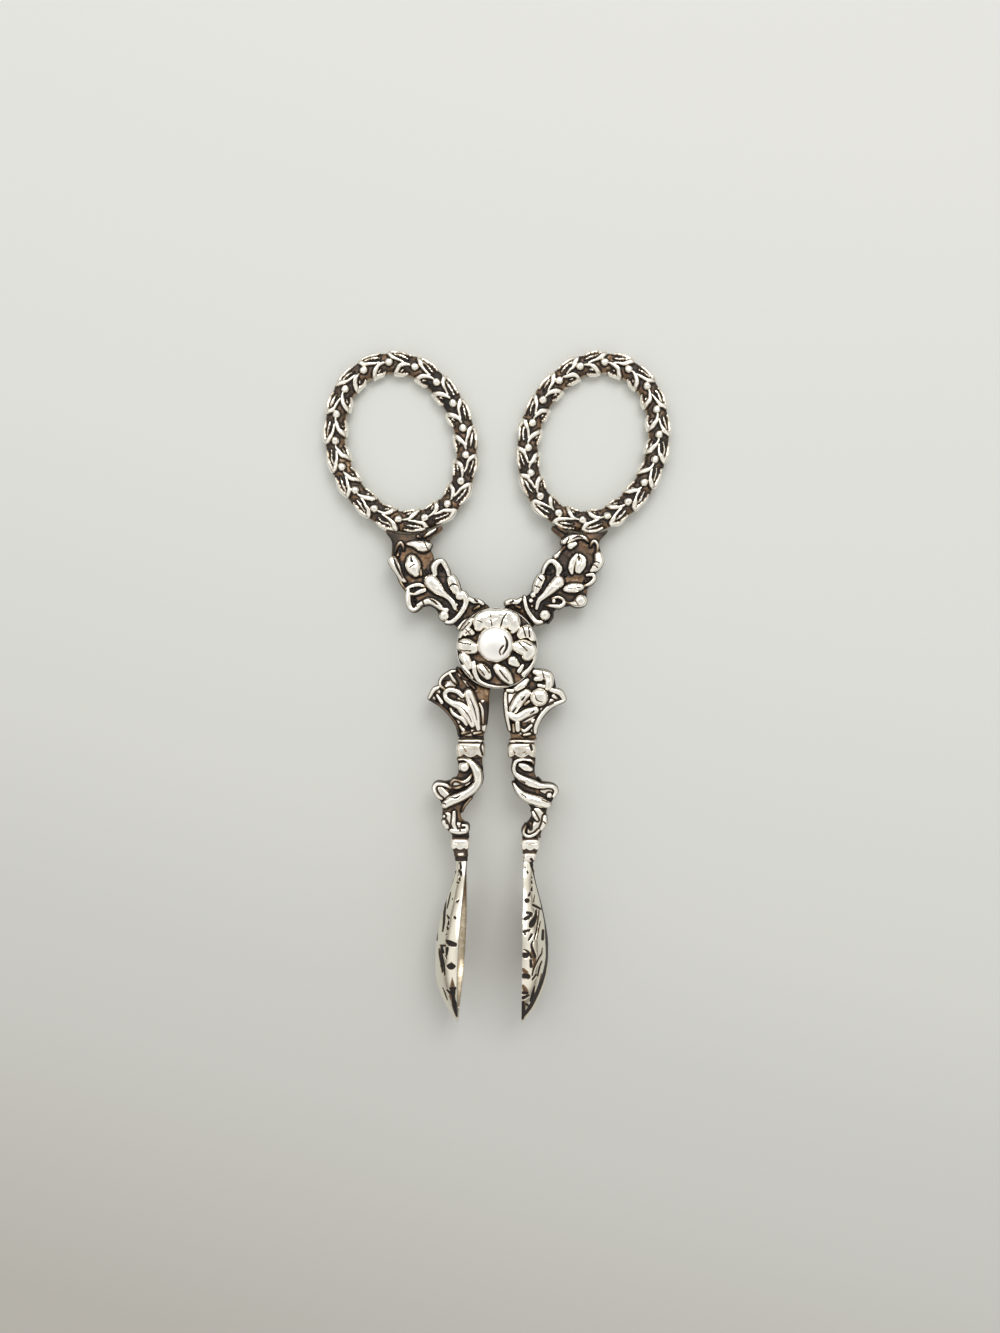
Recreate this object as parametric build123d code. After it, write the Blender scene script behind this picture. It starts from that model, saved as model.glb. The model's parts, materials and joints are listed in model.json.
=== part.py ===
from build123d import *

import os
from math import atan2, cos, degrees, hypot, radians, sin

# Cast silver sugar nips: two scissor arms riveted through a flower boss.
#
# Each arm crosses the pivot. On one side of it is a laurel finger ring with a leaf panel, on the
# other a shoulder leaf, a collar, a scroll, a ferrule and a pointed bowl. The arms are lapped at the
# pivot like scissors, so each hub is half as thick as its arm. The front arm has the left ring and
# the right bowl, the back arm the right ring and the left bowl.
#
# Pieces are drawn for the right-hand side in the plane of the arms, with the pivot at the centre, +Y
# towards the rings and +Z towards the decorated front. Left-hand pieces are their mirror images. At
# the end the whole is leant over until it rests on the rings and on the lower edges of the bowls,
# and moved so that the origin is the middle of its footprint on the table.

# Castings, in millimetres from the lap plane between the arms
arm_back = 1.3  # to the flat back of every casting
arm_front = 1.2  # to the ground of the relief on the front
relief_height = 0.55  # of leaves and scrolls above that ground
overrun = 1.0  # how far cutters run past what they cut

# Pivot
hub_radius = 6.9
lap_gap = 0.1  # between the two hubs
side_clearance = 0.25  # between a hub and the other arm
pin_radius = 1.4
pin_clearance = 0.05  # round the pin in the arm that turns on it
end_play = 0.05  # between the rivet's tail and the arm that turns
rivet_head_radius = 2.95
rivet_head_height = 2.1
rivet_tail_radius = 2.3
rivet_tail_height = 0.5

# Flower boss on the front hub
rosette_plate = 0.5
rosette_rise = 0.8  # crown of a petal above the plate
petal_count = 9
petal_radius = 2.05
petal_circle_radius = 4.8
petal_ball_radius = 2.4
petal_clearance = 0.05  # between the petals and the rivet's head

# Finger ring: an oval band of four arcs, flat behind and rounded in front
ring_spread = 16.45  # from the middle line to the oval's centre
ring_opening_length = 23.4
ring_opening_width = 17.8
ring_end_radius = 7.4  # of the opening's two tight arcs
ring_band = 4.2
ring_lean = 18.0  # degrees that the oval's long axis leans outwards
ring_front = 1.1  # from the lap plane to the crown of the band
ring_round = 1.8  # of the band's two front edges

# Leaf panel between ring and hub
panel_spread = 18.2
panel_rise = 17.4  # from the pivot to the neck under the ring
neck_length = 2.1  # from there to the ring's lowest edge
neck_front = 0.7  # from the lap plane to the front of the neck
neck_lap = 0.9  # that the neck lies over the ring's rounded edge

# Shoulder leaf beyond the hub
shoulder_spread = 11.8
shoulder_length = 15.5

# Collar
collar_length = 2.6
collar_width = 4.8
collar_thickness = 2.9
collar_centre = 4.2  # from the middle line
collar_bead_length = 0.6
collar_step = 0.3  # between the collar's band, its bead and its groove

# Scroll
scroll_length = 14.2
scroll_spread = 10.8

# Ferrule
ferrule_length = 4.1
ferrule_width = 3.2  # of the band
ferrule_thickness = 2.7
ferrule_centre = 5.7  # of the band, from the middle line
ferrule_neck_length = 0.4  # above the band
ferrule_band_length = 1.5
ferrule_bead_length = 0.5
ferrule_step = 0.3  # that the band and the bead stand out from the tube
ferrule_tip_width = 2.2
ferrule_tip_thickness = 2.4

band_round = 0.5  # of the edges of collars and ferrules

# Bowls
bowl_length = 27.6
bowl_half_width = 6.5
bowl_depth = 4.45
bowl_wall = 0.75
bowl_heel = 1.6  # solid part of the bowl next to the ferrule
bowl_toe = 1.1  # solid part at the tip
bowl_inset = 0.25  # that the rim lies nearer the middle line than the socket's inner side
right_bowl_splay = -0.9  # degrees that the rim leans outwards
left_bowl_splay = 2.0
right_bowl_roll = -1.5  # degrees that the hollow turns towards the front
left_bowl_roll = 4.5

left_arm_turn = 1.0  # degrees that the left lower arm stands further out than the right


def outline(spread, rise, start, steps):
    """A face inside lines and arcs, drawn in shares of spread and rise.

    Each step is (a share on the arc, the share at its end), or (None, end) for a straight line.
    """
    edges = []
    here = (start[0] * spread, start[1] * rise)
    for middle, end in steps:
        there = (end[0] * spread, end[1] * rise)
        if middle is None:
            edges.append(Line(here, there))
        else:
            edges.append(ThreePointArc(here, (middle[0] * spread, middle[1] * rise), there))
        here = there
    return make_face(Curve() + edges)


def plate(face, low, high):
    """A face in the plane of the arms as a plate between two heights."""
    return extrude(Pos(0, 0, low) * face, amount=high - low)


def ovals(spread, rise, height, ends_and_widths):
    """Raised ovals on the ground of the relief. Each is (one end, other end, width) in shares."""
    raised = []
    for (x1, y1), (x2, y2), width in ends_and_widths:
        run, climb = (x2 - x1) * spread, (y2 - y1) * rise
        place = Location(
            ((x1 + x2) * spread / 2, (y1 + y2) * rise / 2, arm_front), (0, 0, degrees(atan2(climb, run)))
        )
        raised.append(place * scale(Sphere(1), by=(hypot(run, climb) / 2, width * spread / 2, height)))
    return raised


def lap_cutter(front):
    """What both hubs need free in a panel or shoulder: its own is met, the other is cleared."""
    top = arm_front + rosette_plate + rosette_rise + overrun
    own = plate(Circle(hub_radius), -arm_back - overrun, top)
    low, high = (-arm_back - overrun, 0) if front else (0, top)
    return own + plate(Circle(hub_radius + side_clearance), low, high)


def ring_oval(grow):
    """The ring's opening as a face of four tangent arcs, grown outwards on every side."""
    long_half, short_half = ring_opening_length / 2, ring_opening_width / 2
    end_centre = long_half - ring_end_radius
    slack = short_half - ring_end_radius
    side_centre = (end_centre**2 - slack**2) / (2 * slack)
    side_radius = short_half + side_centre + grow
    end_radius = ring_end_radius + grow
    half_angle = degrees(atan2(end_centre, side_centre))
    right_side = CenterArc((-side_centre, 0), side_radius, -half_angle, 2 * half_angle)
    top = CenterArc((0, end_centre), end_radius, half_angle, 180 - 2 * half_angle)
    left_side = CenterArc((side_centre, 0), side_radius, 180 - half_angle, 2 * half_angle)
    bottom = CenterArc((0, -end_centre), end_radius, 180 + half_angle, 180 - 2 * half_angle)
    return make_face(Curve() + [right_side, top, left_side, bottom])


def ring_reach():
    """From the pivot to the oval's centre: the ring's lowest edge stands a neck's length off the panel."""
    end_centre = ring_opening_length / 2 - ring_end_radius
    return panel_rise + neck_length + end_centre * cos(radians(ring_lean)) + ring_end_radius + ring_band


def ring_place():
    return Location((ring_spread, ring_reach(), 0), (0, 0, -ring_lean))


def finger_ring():
    """The oval band, flat behind and rounded in front."""
    band = plate(ring_oval(ring_band) - ring_oval(0), -arm_back, ring_front)
    return ring_place() * fillet(band.edges().group_by(Axis.Z)[-1], ring_round)


neck_edge_shares = [
    (None, (0.98, 0.9)),
    ((0.985, 1.03), (1.045, 1.18)),
    (None, (1.045, 1.35)),
    (None, (0.52, 1.35)),
    (None, (0.52, 1.2)),
    ((0.615, 1.1), (0.625, 1.0)),
    (None, (0.6, 0.9)),
]


def neck():
    """The flared neck of the panel, hollowed to lie round the ring's lower edge."""
    face = outline(panel_spread, panel_rise, neck_edge_shares[-1][1], neck_edge_shares)
    inside_ring = plate(ring_oval(ring_band - neck_lap), -arm_back - overrun, neck_front + overrun)
    return plate(face, -arm_back, neck_front) - ring_place() * inside_ring - finger_ring()


panel_start_share = (0.1, 0.1)
panel_edge_shares = [
    (None, (0.386, 0.187)),
    ((0.48, 0.225), (0.545, 0.275)),
    ((0.57, 0.31), (0.583, 0.358)),
    ((0.655, 0.4), (0.724, 0.383)),
    ((0.8, 0.357), (0.846, 0.413)),
    ((0.855, 0.46), (0.846, 0.511)),
    ((0.87, 0.61), (0.921, 0.679)),
    ((0.955, 0.73), (0.977, 0.781)),
    ((1.0, 0.88), (0.98, 1.0)),
    (None, (0.61, 1.0)),
    ((0.6, 0.93), (0.574, 0.875)),
    ((0.5, 0.85), (0.432, 0.767)),
    ((0.4, 0.695), (0.338, 0.649)),
    ((0.32, 0.59), (0.291, 0.531)),
    ((0.2, 0.505), (0.122, 0.462)),
    ((0.09, 0.43), (0.066, 0.383)),
    (None, (0.1, 0.1)),
]
panel_oval_shares = [
    ((0.79, 0.87), (0.79, 0.71), 0.135),
    ((0.94, 0.93), (0.865, 0.56), 0.085),
    ((0.64, 0.77), (0.5, 0.5), 0.17),
    ((0.57, 0.86), (0.46, 0.76), 0.1),
    ((0.42, 0.7), (0.385, 0.55), 0.1),
    ((0.36, 0.6), (0.3, 0.52), 0.08),
    ((0.53, 0.36), (0.46, 0.28), 0.09),
    ((0.82, 0.47), (0.7, 0.42), 0.1),
    ((0.66, 0.53), (0.6, 0.4), 0.1),
]


def leaf_panel(front):
    """The pierced-looking panel of leaves and buds between ring and hub."""
    ground = plate(outline(panel_spread, panel_rise, panel_start_share, panel_edge_shares), -arm_back, arm_front)
    relief = ovals(panel_spread, panel_rise, relief_height, panel_oval_shares)
    return ground + neck() + relief - lap_cutter(front)


shoulder_start_share = (0.3, -0.1)
shoulder_edge_shares = [
    (None, (0.565, -0.205)),
    ((0.7, -0.25), (0.83, -0.3)),
    ((0.875, -0.35), (0.885, -0.42)),
    ((0.93, -0.49), (1.0, -0.56)),
    ((0.84, -0.65), (0.72, -0.74)),
    ((0.61, -0.85), (0.55, -1.0)),
    (None, (0.18, -1.0)),
    ((0.12, -0.8), (0.1, -0.48)),
    (None, (0.3, -0.1)),
]
shoulder_oval_shares = [
    ((0.55, -0.46), (0.83, -0.4), 0.16),
    ((0.74, -0.55), (0.36, -0.92), 0.15),
    ((0.42, -0.56), (0.27, -0.93), 0.15),
    ((0.8, -0.62), (0.58, -0.78), 0.12),
]


def shoulder_leaf(front):
    """The leaf that caps the arm beyond the hub and narrows to the collar."""
    edge = outline(shoulder_spread, shoulder_length, shoulder_start_share, shoulder_edge_shares)
    relief = ovals(shoulder_spread, shoulder_length, relief_height, shoulder_oval_shares)
    return plate(edge, -arm_back, arm_front) + relief - lap_cutter(front)


def section_round_arm(centre, start, width, thickness):
    middle = (arm_front - arm_back) / 2
    section = Plane(origin=(centre, -start, middle), x_dir=(1, 0, 0), z_dir=(0, -1, 0))
    return section * RectangleRounded(width, thickness, band_round)


def band_round_arm(centre, start, length, width, thickness):
    """A band with rounded edges round the arm, from start towards the bowl."""
    return extrude(section_round_arm(centre, start, width, thickness), amount=length)


def collar():
    """A plain band with a bead above it, divided by a groove."""
    bead_width = collar_width - collar_step
    groove_width = bead_width - collar_step
    bead_thickness = collar_thickness - collar_step
    groove_thickness = bead_thickness - collar_step
    band_start = shoulder_length + 3 * collar_bead_length / 2
    band_length = collar_length - 3 * collar_bead_length / 2
    return (
        band_round_arm(collar_centre, shoulder_length, collar_length, groove_width, groove_thickness)
        + band_round_arm(collar_centre, shoulder_length, collar_bead_length, bead_width, bead_thickness)
        + band_round_arm(collar_centre, band_start, band_length, collar_width, collar_thickness)
    )


scroll_start_share = (0.2, 0.0)
scroll_edge_shares = [
    (None, (0.59, 0.0)),
    ((0.6, -0.12), (0.61, -0.21)),
    ((0.64, -0.275), (0.69, -0.31)),
    ((0.79, -0.34), (0.89, -0.345)),
    ((0.965, -0.365), (0.985, -0.42)),
    ((0.965, -0.5), (0.885, -0.575)),
    ((0.83, -0.63), (0.815, -0.69)),
    ((0.845, -0.77), (0.81, -0.86)),
    ((0.77, -0.92), (0.68, -1.0)),
    (None, (0.4, -1.0)),
    ((0.375, -0.93), (0.385, -0.87)),
    ((0.44, -0.85), (0.5, -0.8)),
    ((0.54, -0.75), (0.535, -0.7)),
    ((0.5, -0.64), (0.45, -0.59)),
    ((0.27, -0.42), (0.205, -0.24)),
    ((0.195, -0.12), (0.2, 0.0)),
]
scroll_oval_shares = [
    ((0.5, -0.1), (0.5, -0.26), 0.19),
    ((0.33, -0.04), (0.3, -0.42), 0.13),
    ((0.32, -0.36), (0.6, -0.7), 0.14),
    ((0.93, -0.4), (0.68, -0.44), 0.16),
    ((0.84, -0.56), (0.66, -0.62), 0.14),
    ((0.64, -0.74), (0.66, -0.92), 0.13),
    ((0.78, -0.74), (0.76, -0.84), 0.1),
]


def scroll():
    """The scrolled stretch between collar and ferrule."""
    ground = plate(outline(scroll_spread, scroll_length, scroll_start_share, scroll_edge_shares), -arm_back, arm_front)
    relief = ovals(scroll_spread, scroll_length, relief_height, scroll_oval_shares)
    ends = Pos(scroll_spread / 2, -scroll_length / 2) * Rectangle(2 * scroll_spread, scroll_length)
    within = plate(ends, -arm_back, arm_front + relief_height + overrun)
    return Pos(0, -shoulder_length - collar_length) * ((ground + relief) & within)


def ferrule():
    """The socket that holds the bowl: a tube that narrows to the bowl's heel, with a band and a bead."""
    start = shoulder_length + collar_length + scroll_length
    tip_centre = ferrule_centre - bowl_inset
    tube_ends = [
        section_round_arm(ferrule_centre, start, ferrule_width - ferrule_step, ferrule_thickness - ferrule_step),
        section_round_arm(tip_centre, start + ferrule_length, ferrule_tip_width, ferrule_tip_thickness),
    ]
    band_start = start + ferrule_neck_length
    bead_start = start + ferrule_length - 2 * ferrule_bead_length
    bead_width = ferrule_tip_width + ferrule_step
    bead_thickness = ferrule_tip_thickness + ferrule_step
    return (
        loft(tube_ends)
        + band_round_arm(ferrule_centre, band_start, ferrule_band_length, ferrule_width, ferrule_thickness)
        + band_round_arm(tip_centre, bead_start, ferrule_bead_length, bead_width, bead_thickness)
    )


bowl_station_shares = [0.0, 0.07, 0.17, 0.3, 0.45, 0.6, 0.74, 0.87, 0.95, 1.0]
bowl_width_shares = [0.17, 0.26, 0.52, 0.8, 0.98, 1.0, 0.86, 0.53, 0.25, 0.04]
bowl_depth_shares = [0.38, 0.42, 0.57, 0.79, 0.97, 1.0, 0.92, 0.6, 0.3, 0.05]


def across(station):
    """The plane across a bowl at a distance from its heel."""
    return Plane(origin=(0, -station, 0), x_dir=(1, 0, 0), z_dir=(0, -1, 0))


def bowl(splay, roll):
    """A pointed half shell. Its rim lies in a plane that faces the other bowl."""
    shares = list(zip(bowl_station_shares, bowl_width_shares, bowl_depth_shares))
    hollow_length = bowl_length - bowl_heel - bowl_toe
    outside, inside = [], []
    for along, width, depth in shares:
        face = Ellipse(depth * bowl_depth, width * bowl_half_width)
        outside.append(across(along * bowl_length) * split(face, bisect_by=Plane.YZ, keep=Keep.TOP))
        hollow = Ellipse(
            max(depth * bowl_depth - bowl_wall, bowl_wall / 2),
            max(width * bowl_half_width - bowl_wall, bowl_wall / 2),
        )
        inside.append(across(bowl_heel + along * hollow_length) * hollow)
    heel = extrude(outside[0], amount=-overrun)
    shell = loft(outside) + heel - loft(inside)
    heel_half = bowl_depth_shares[0] * bowl_depth / 2
    start = shoulder_length + collar_length + scroll_length + ferrule_length
    middle = (arm_front - arm_back) / 2
    rim = ferrule_centre - heel_half - bowl_inset
    placed = Location((rim, -start, middle), (0, roll, splay)) * shell
    return split(placed, bisect_by=Plane(origin=(0, -start, 0), z_dir=(0, -1, 0)), keep=Keep.TOP)


def hub(front):
    """One half of the lap joint. The pin is fast in the front half and turns in the back half."""
    if front:
        return plate(Circle(hub_radius) - Circle(pin_radius), lap_gap / 2, arm_front)
    return plate(Circle(hub_radius) - Circle(pin_radius + pin_clearance), -arm_back, -lap_gap / 2)


def rosette():
    """The flower boss: a ring of domed petals on a plate, bored for the rivet."""
    around = PolarLocations(petal_circle_radius, petal_count, start_angle=90)
    flower = Circle(petal_circle_radius) + around * Circle(petal_radius)
    seat = arm_front + rosette_plate
    crown = seat + rosette_rise
    ball = Pos(0, 0, crown - petal_ball_radius) * Sphere(petal_ball_radius)
    petals = Part() + [place * ball for place in around] & plate(flower, seat, crown + overrun)
    head_room = plate(Circle(rivet_head_radius + petal_clearance), seat, crown + overrun)
    bore = plate(Circle(pin_radius), arm_front - overrun, crown + overrun)
    return plate(flower, arm_front, seat) + petals - head_room - bore


def cap(radius, height):
    """The cap of a ball, standing on the lap plane."""
    ball = (radius**2 + height**2) / (2 * height)
    return Pos(0, 0, height - ball) * Sphere(ball) & plate(Circle(radius + overrun), 0, height + overrun)


def pivot_rivet():
    """The rivet, with a polished dome in front and its spread tail behind."""
    seat = arm_front + rosette_plate
    tail_seat = -arm_back - end_play
    shank = plate(Circle(pin_radius), tail_seat, seat)
    head = Pos(0, 0, seat) * cap(rivet_head_radius, rivet_head_height)
    tail = Pos(0, 0, tail_seat) * Rot(180, 0, 0) * cap(rivet_tail_radius, rivet_tail_height)
    return shank + head + tail


def left(piece):
    return mirror(piece, about=Plane.YZ)


def left_lower(piece):
    """A left-hand piece beyond the hub, which stands a little further out than its twin."""
    return Rot(0, 0, -left_arm_turn) * left(piece)


rings = [left(finger_ring()), finger_ring()]
bowls = [bowl(right_bowl_splay, right_bowl_roll), left_lower(bowl(left_bowl_splay, left_bowl_roll))]
pieces = {
    "front_finger_ring": rings[0],
    "front_leaf_panel": left(leaf_panel(True)),
    "front_hub": hub(True),
    "front_shoulder_leaf": shoulder_leaf(True),
    "front_collar": collar(),
    "front_scroll": scroll(),
    "front_ferrule": ferrule(),
    "front_bowl": bowls[0],
    "rosette": rosette(),
    "pivot_rivet": pivot_rivet(),
    "back_finger_ring": rings[1],
    "back_leaf_panel": leaf_panel(False),
    "back_hub": hub(False),
    "back_shoulder_leaf": left_lower(shoulder_leaf(False)),
    "back_collar": left_lower(collar()),
    "back_scroll": left_lower(scroll()),
    "back_ferrule": left_lower(ferrule()),
    "back_bowl": bowls[1],
}


def lowest(shapes, turn):
    return min((turn * shape).bounding_box().min.Z for shape in shapes)


def rest_turn():
    """The turn that brings the rings down to the level of the bowls' lower edges."""
    bowl_middle = shoulder_length + collar_length + scroll_length + ferrule_length + bowl_length / 2
    span = ring_reach() + ring_opening_length / 2 + ring_band + bowl_middle
    lean = 0.0
    for _ in range(5):
        turn = Rot(lean, 0, 0)
        lean -= degrees(atan2(lowest(rings, turn) - lowest(bowls, turn), span))
    print("lean", round(lean, 4), "degrees, rings at", lowest(rings, Rot(lean, 0, 0)))
    print("pivot axis", 0, round(-sin(radians(lean)), 6), round(cos(radians(lean)), 6))
    return Rot(lean, 0, 0)


turn = rest_turn()
box = Compound([turn * piece for piece in pieces.values()]).bounding_box()
rest = Pos(-box.center().X, -box.center().Y, -box.min.Z) * turn
print("pivot", tuple(round(value, 4) for value in (rest * Vertex(0, 0, 0)).center()))
print("size", tuple(round(value, 3) for value in box.size))

os.makedirs("parts", exist_ok=True)
for name, piece in pieces.items():
    export_step(rest * piece, f"parts/{name}.step")
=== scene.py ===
import json
import math

import bpy
import numpy as np
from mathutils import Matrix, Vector
from mathutils.geometry import tessellate_polygon


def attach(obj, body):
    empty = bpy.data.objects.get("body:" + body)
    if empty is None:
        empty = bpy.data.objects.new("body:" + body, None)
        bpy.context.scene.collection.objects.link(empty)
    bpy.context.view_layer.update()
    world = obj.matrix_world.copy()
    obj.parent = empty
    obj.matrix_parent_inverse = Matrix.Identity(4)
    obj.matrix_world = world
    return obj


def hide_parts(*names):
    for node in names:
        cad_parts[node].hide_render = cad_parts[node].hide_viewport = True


# Cast silver sugar nips: laurel finger rings, leaf and scroll arms, a flower boss and pointed bowls.
#
# Everything is drawn in the plane of the arms, in millimetres, with the pivot at the centre, +Y
# towards the rings and +Z towards the decorated front. place() moves it into the frame, in metres.
# The carving is drawn as strokes: points along a ridge or a groove, each with its half width. Their
# places are pixels of the reference photograph's 1000 by 1333 frame.

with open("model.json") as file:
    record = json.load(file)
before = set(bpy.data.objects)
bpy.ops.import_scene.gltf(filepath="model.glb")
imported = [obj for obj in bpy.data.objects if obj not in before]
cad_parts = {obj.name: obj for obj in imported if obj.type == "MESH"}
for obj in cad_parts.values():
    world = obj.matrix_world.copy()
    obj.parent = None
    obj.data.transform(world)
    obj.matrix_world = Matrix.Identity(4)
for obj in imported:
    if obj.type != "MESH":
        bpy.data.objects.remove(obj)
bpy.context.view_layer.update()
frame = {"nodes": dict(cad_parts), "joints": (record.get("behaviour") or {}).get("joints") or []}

# Drawing scale and curves
metre = 0.001
photo_pixel = 0.1711
photo_pivot = (497.0, 648.0)
carving_height = 1.8
curve_steps = 8
outline_steps = 5
eased_steps = 12
shortest_run = 1e-12
shortest_normal = 1e-9
points_at_once = 4000
far_away = 9.0

# Castings: their mesh and cuts, then the relief, the scattered flecks and waves, and the patina,
# whose black in narrow hollows and at the feet of the ridges is tarnish and painted shade.
# inner_share, furthest_move and back_reach count cells of the mesh.
cell = 0.075
arm_back = 1.3
ground = 0.8
drawing_margin = 1.0
slope_floor = 0.5
inner_share = 0.35
furthest_move = 2
back_reach = 1.5
section_slack = 0.1
relief_rise = 1.15
relief_width = 0.42
body_rise = 0.45
ridge_power = 3.0
stroke_gain = 1.2
cloud_cells = 64
cloud_shift = 1000.0
cloud_middle = 0.5
fleck_size = 0.62
fleck_rise = 0.14
fleck_share = (0.55, 0.85)
uneven_size = 1.3
uneven_rise = 0.16
uneven_fine = 0.5
uneven_raised = (0.1, 0.6)
patch_size = 2.6
sharp_angle = 50
groove_depth = 0.3
groove_width = 0.1
groove_dark = 1.1
swell_rise = 0.35
swell_reach = 1.0
edge_round = 0.45
# The black in narrow hollows and at the feet of the ridges is tarnish and painted shade
foot_reach = 0.3
dark_start = 0.08
hollow_tarnish_and_shade_slope = 4.4
ground_patina = 0.42
ground_spread = 0.5
ground_raised = (0.1, 0.36)
body_patina = 0.1
body_raised = (0.4, 0.85)
foot_width = 0.22
foot_start = 0.3
feet_tarnish_and_shade = 0.75
foot_bare = (0.43, 0.6)
wall_patina = 0.2

# Silver: the three finishes, then the tarnish and painted shade from bright to black, and the fine scratches
cast_tint = (0.94, 0.91, 0.83, 1)
cast_polish = 0.17
bowl_tint = (0.86, 0.82, 0.71, 1)
bowl_polish = 0.15
rivet_tint = (0.98, 0.96, 0.92, 1)
rivet_polish = 0.3
tarnish_and_shade_stops = [
    (0.27, (0.5, 0.42, 0.3, 1)), (0.5, (0.21, 0.12, 0.06, 1)), (0.7, (0.06, 0.038, 0.022, 1)),
    (0.9, (0.014, 0.011, 0.009, 1)),
]
tint_stop = 0.1
tarnish_scale = 1400.0
tarnish_detail = 4.0
tarnish_spread = 0.3
metal_range = (0.25, 0.6)
metal_share = (1.0, 0.35)
scratch_scale = 900.0
scratch_detail = 8.0
scratch_roughness = 0.7
scratch_spread = 0.12
scratch_bump = 0.25
scratch_depth = 0.04
tarnish_dull = 0.4

# Pivot, flower boss and rivet
hub_radius = 6.9
hub_gap = 0.03
lap_clearance = 0.28
rosette_radius = 6.82
rosette_hole = 2.2
rosette_seat = 1.22
rosette_ground = 1.6
dome_radius = 3.15
dome_seat = 1.7
dome_rise = 1.9
dome_flatness = 0.5
dome_shift = (-0.3, 0.65)
dome_segments = 120
dome_rows = 48
dome_edge_patina = 0.6
dome_edge_power = 24
tail_seat = -1.35
tail_radius = 2.3
tail_rise = 0.5
tail_segments = 72
tail_rows = 16
tail_edge_patina = 0.5
tail_edge_power = 10

# Finger rings: ring_cells and ring_dark_cells count the castings' cells, ring_wrap counts rows, and
# the first row lies one part in ring_first_row of the flat beside the middle
ring_reach = 35.19
ring_spread = 16.45
ring_opening_length = 23.4
ring_opening_width = 17.8
ring_end_radius = 7.4
ring_band = 4.2
ring_lean = 18.0
ring_ground = 0.75
ring_inset = 0.35
ring_round = 1.2
ring_points = 360
ring_cells = (1.15, 1.35)
ring_first_row = 40
ring_wall_rows = 5
ring_wall_fade = 0.7
ring_back_rows = (0.6, 0.2)
ring_wrap = 8
ring_dark_cells = 1.25
ring_edge_bare = 0.6
ring_edge_facing = 0.8
ring_wall_patina = 0.5
left_berries = 17
right_berries = 18
left_first_berry = (464.0, 426.6)
right_first_berry = (529.6, 421.0)
wreath_rise = 0.85
wreath_width = 0.3
leaf_pitch = 4.5
leaf_jitter = 0.09
leaf_jitter_shares = (1, 0.6, 0.25)
leaf_thin = 0.88
wreath_bare = (0.26, 0.42)
berry_radius = 0.8
stem_offset = -0.15

# Bands round the lower arms, with band_cells in the castings' cells
band_middle = -0.05
collar_start = 15.5
collar_half = (2.4, 1.45)
collar_centre = 4.2
collar_scallop = 0.6
scroll_start = 18.7
ferrule_start = 32.3
ferrule_half = (1.6, 1.35)
ferrule_tip_half = (1.1, 1.2)
ferrule_centre = 5.7
ferrule_scallop = 0.3
ferrule_drawn = 1.2
band_segments = 120
band_cells = 1.3
band_square = 0.5
band_uneven = 0.07
band_uneven_size = 0.45
band_seed = 10
dent_depth = 0.2
dome_dent = 0.12

# Bowls, with bowl_cells in the castings' cells
bowl_start = 36.4
bowl_length = 27.6
bowl_half_width = 6.5
bowl_depth = 4.45
bowl_wall = 0.75
bowl_heel = 1.6
bowl_toe = 1.1
bowl_inset = 0.25
bowl_cells = 1.35
bowl_least_hollow = 0.3
bowl_least_rim = 0.1
bowl_inward = 3.0
right_bowl_lean = (-0.9, -1.5)
left_bowl_lean = (2.0, 4.5)
left_arm_turn = 1.0
bowl_groove = 0.16
bowl_groove_width = 0.08
bowl_groove_dark = 1.25
bowl_stroke_gain = 1.35
stain_patina = 0.6
hollow_patina = 0.27
heel_darkening = 0.45
heel_share = 0.3

# Camera and floor
camera_place = (0.51, -3.165, 190.0)
camera_lens = 20.0
camera_sensor = 24.0
camera_near = 10.0
floor_half = 1500.0
floor_fall = 0.3
floor_slant = 0.3
floor_middle = 0.5
floor_roughness = 0.7
floor_gloss = 0.2
# The floor's colour darkens towards the bottom: painted shade of the light falling off
floor_shade_stops = [
    (0.13, (0.7, 0.705, 0.686, 1)), (0.41, (0.68, 0.695, 0.67, 1)), (0.6, (0.645, 0.652, 0.625, 1)),
    (0.7, (0.59, 0.595, 0.57, 1)), (0.77, (0.57, 0.573, 0.547, 1)), (0.95, (0.47, 0.455, 0.42, 1)),
]

# Light: the room's colours from below to above, its strength on the object and as it shows, and the
# lamps, each with its place and side in millimetres and its power in watts
room_stops = [
    (0.0, (0.2, 0.18, 0.16, 1)), (0.2, (0.45, 0.42, 0.38, 1)), (0.42, (0.88, 0.86, 0.82, 1)),
    (0.7, (1, 0.98, 0.95, 1)), (0.9, (0.88, 0.87, 0.85, 1)), (1.0, (0.68, 0.67, 0.65, 1)),
]
room_light = 0.81
room_shown = 1.0
lamps = [
    ((160, 460, 640), 380, 2.1),
    ((-240, 385, 670), 480, 1.0),
]


def frame_turn():
    """The lean of the arms' plane and the pivot's place, from the joint between the arms."""
    joint = frame["joints"][0]
    axis = joint["axis"]
    return math.atan2(-axis[1], axis[2]), np.array(joint["pos_m"])


lean, pivot = frame_turn()


def place(points):
    """Points in the plane of the arms, in millimetres, as points of the frame, in metres."""
    x, y, z = np.moveaxis(np.asarray(points, float) * metre, -1, 0)
    up, over = math.cos(lean), math.sin(lean)
    return np.stack([x, y * up - z * over, y * over + z * up], axis=-1) + pivot


def from_photo(rows, height=carving_height):
    """Pixels and half widths of a stroke as millimetres at a height above the plane of the arms."""
    rows = np.array(rows, float)
    rows[:, 0] = (rows[:, 0] - photo_pivot[0]) * photo_pixel
    rows[:, 1] = (photo_pivot[1] - rows[:, 1]) * photo_pixel
    rows[:, 2:] *= photo_pixel * stroke_gain
    eye = np.array(camera_place)
    rows[:, :2] = eye[:2] + (rows[:, :2] - eye[:2]) * (eye[2] - height) / eye[2]
    return rows


def seen(points):
    """Where the camera sees points, in the plane of the arms."""
    eye = np.array(camera_place)
    return eye[:2] + (points[:, :2] - eye[:2]) * eye[2] / (eye[2] - points[:, 2:])


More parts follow.
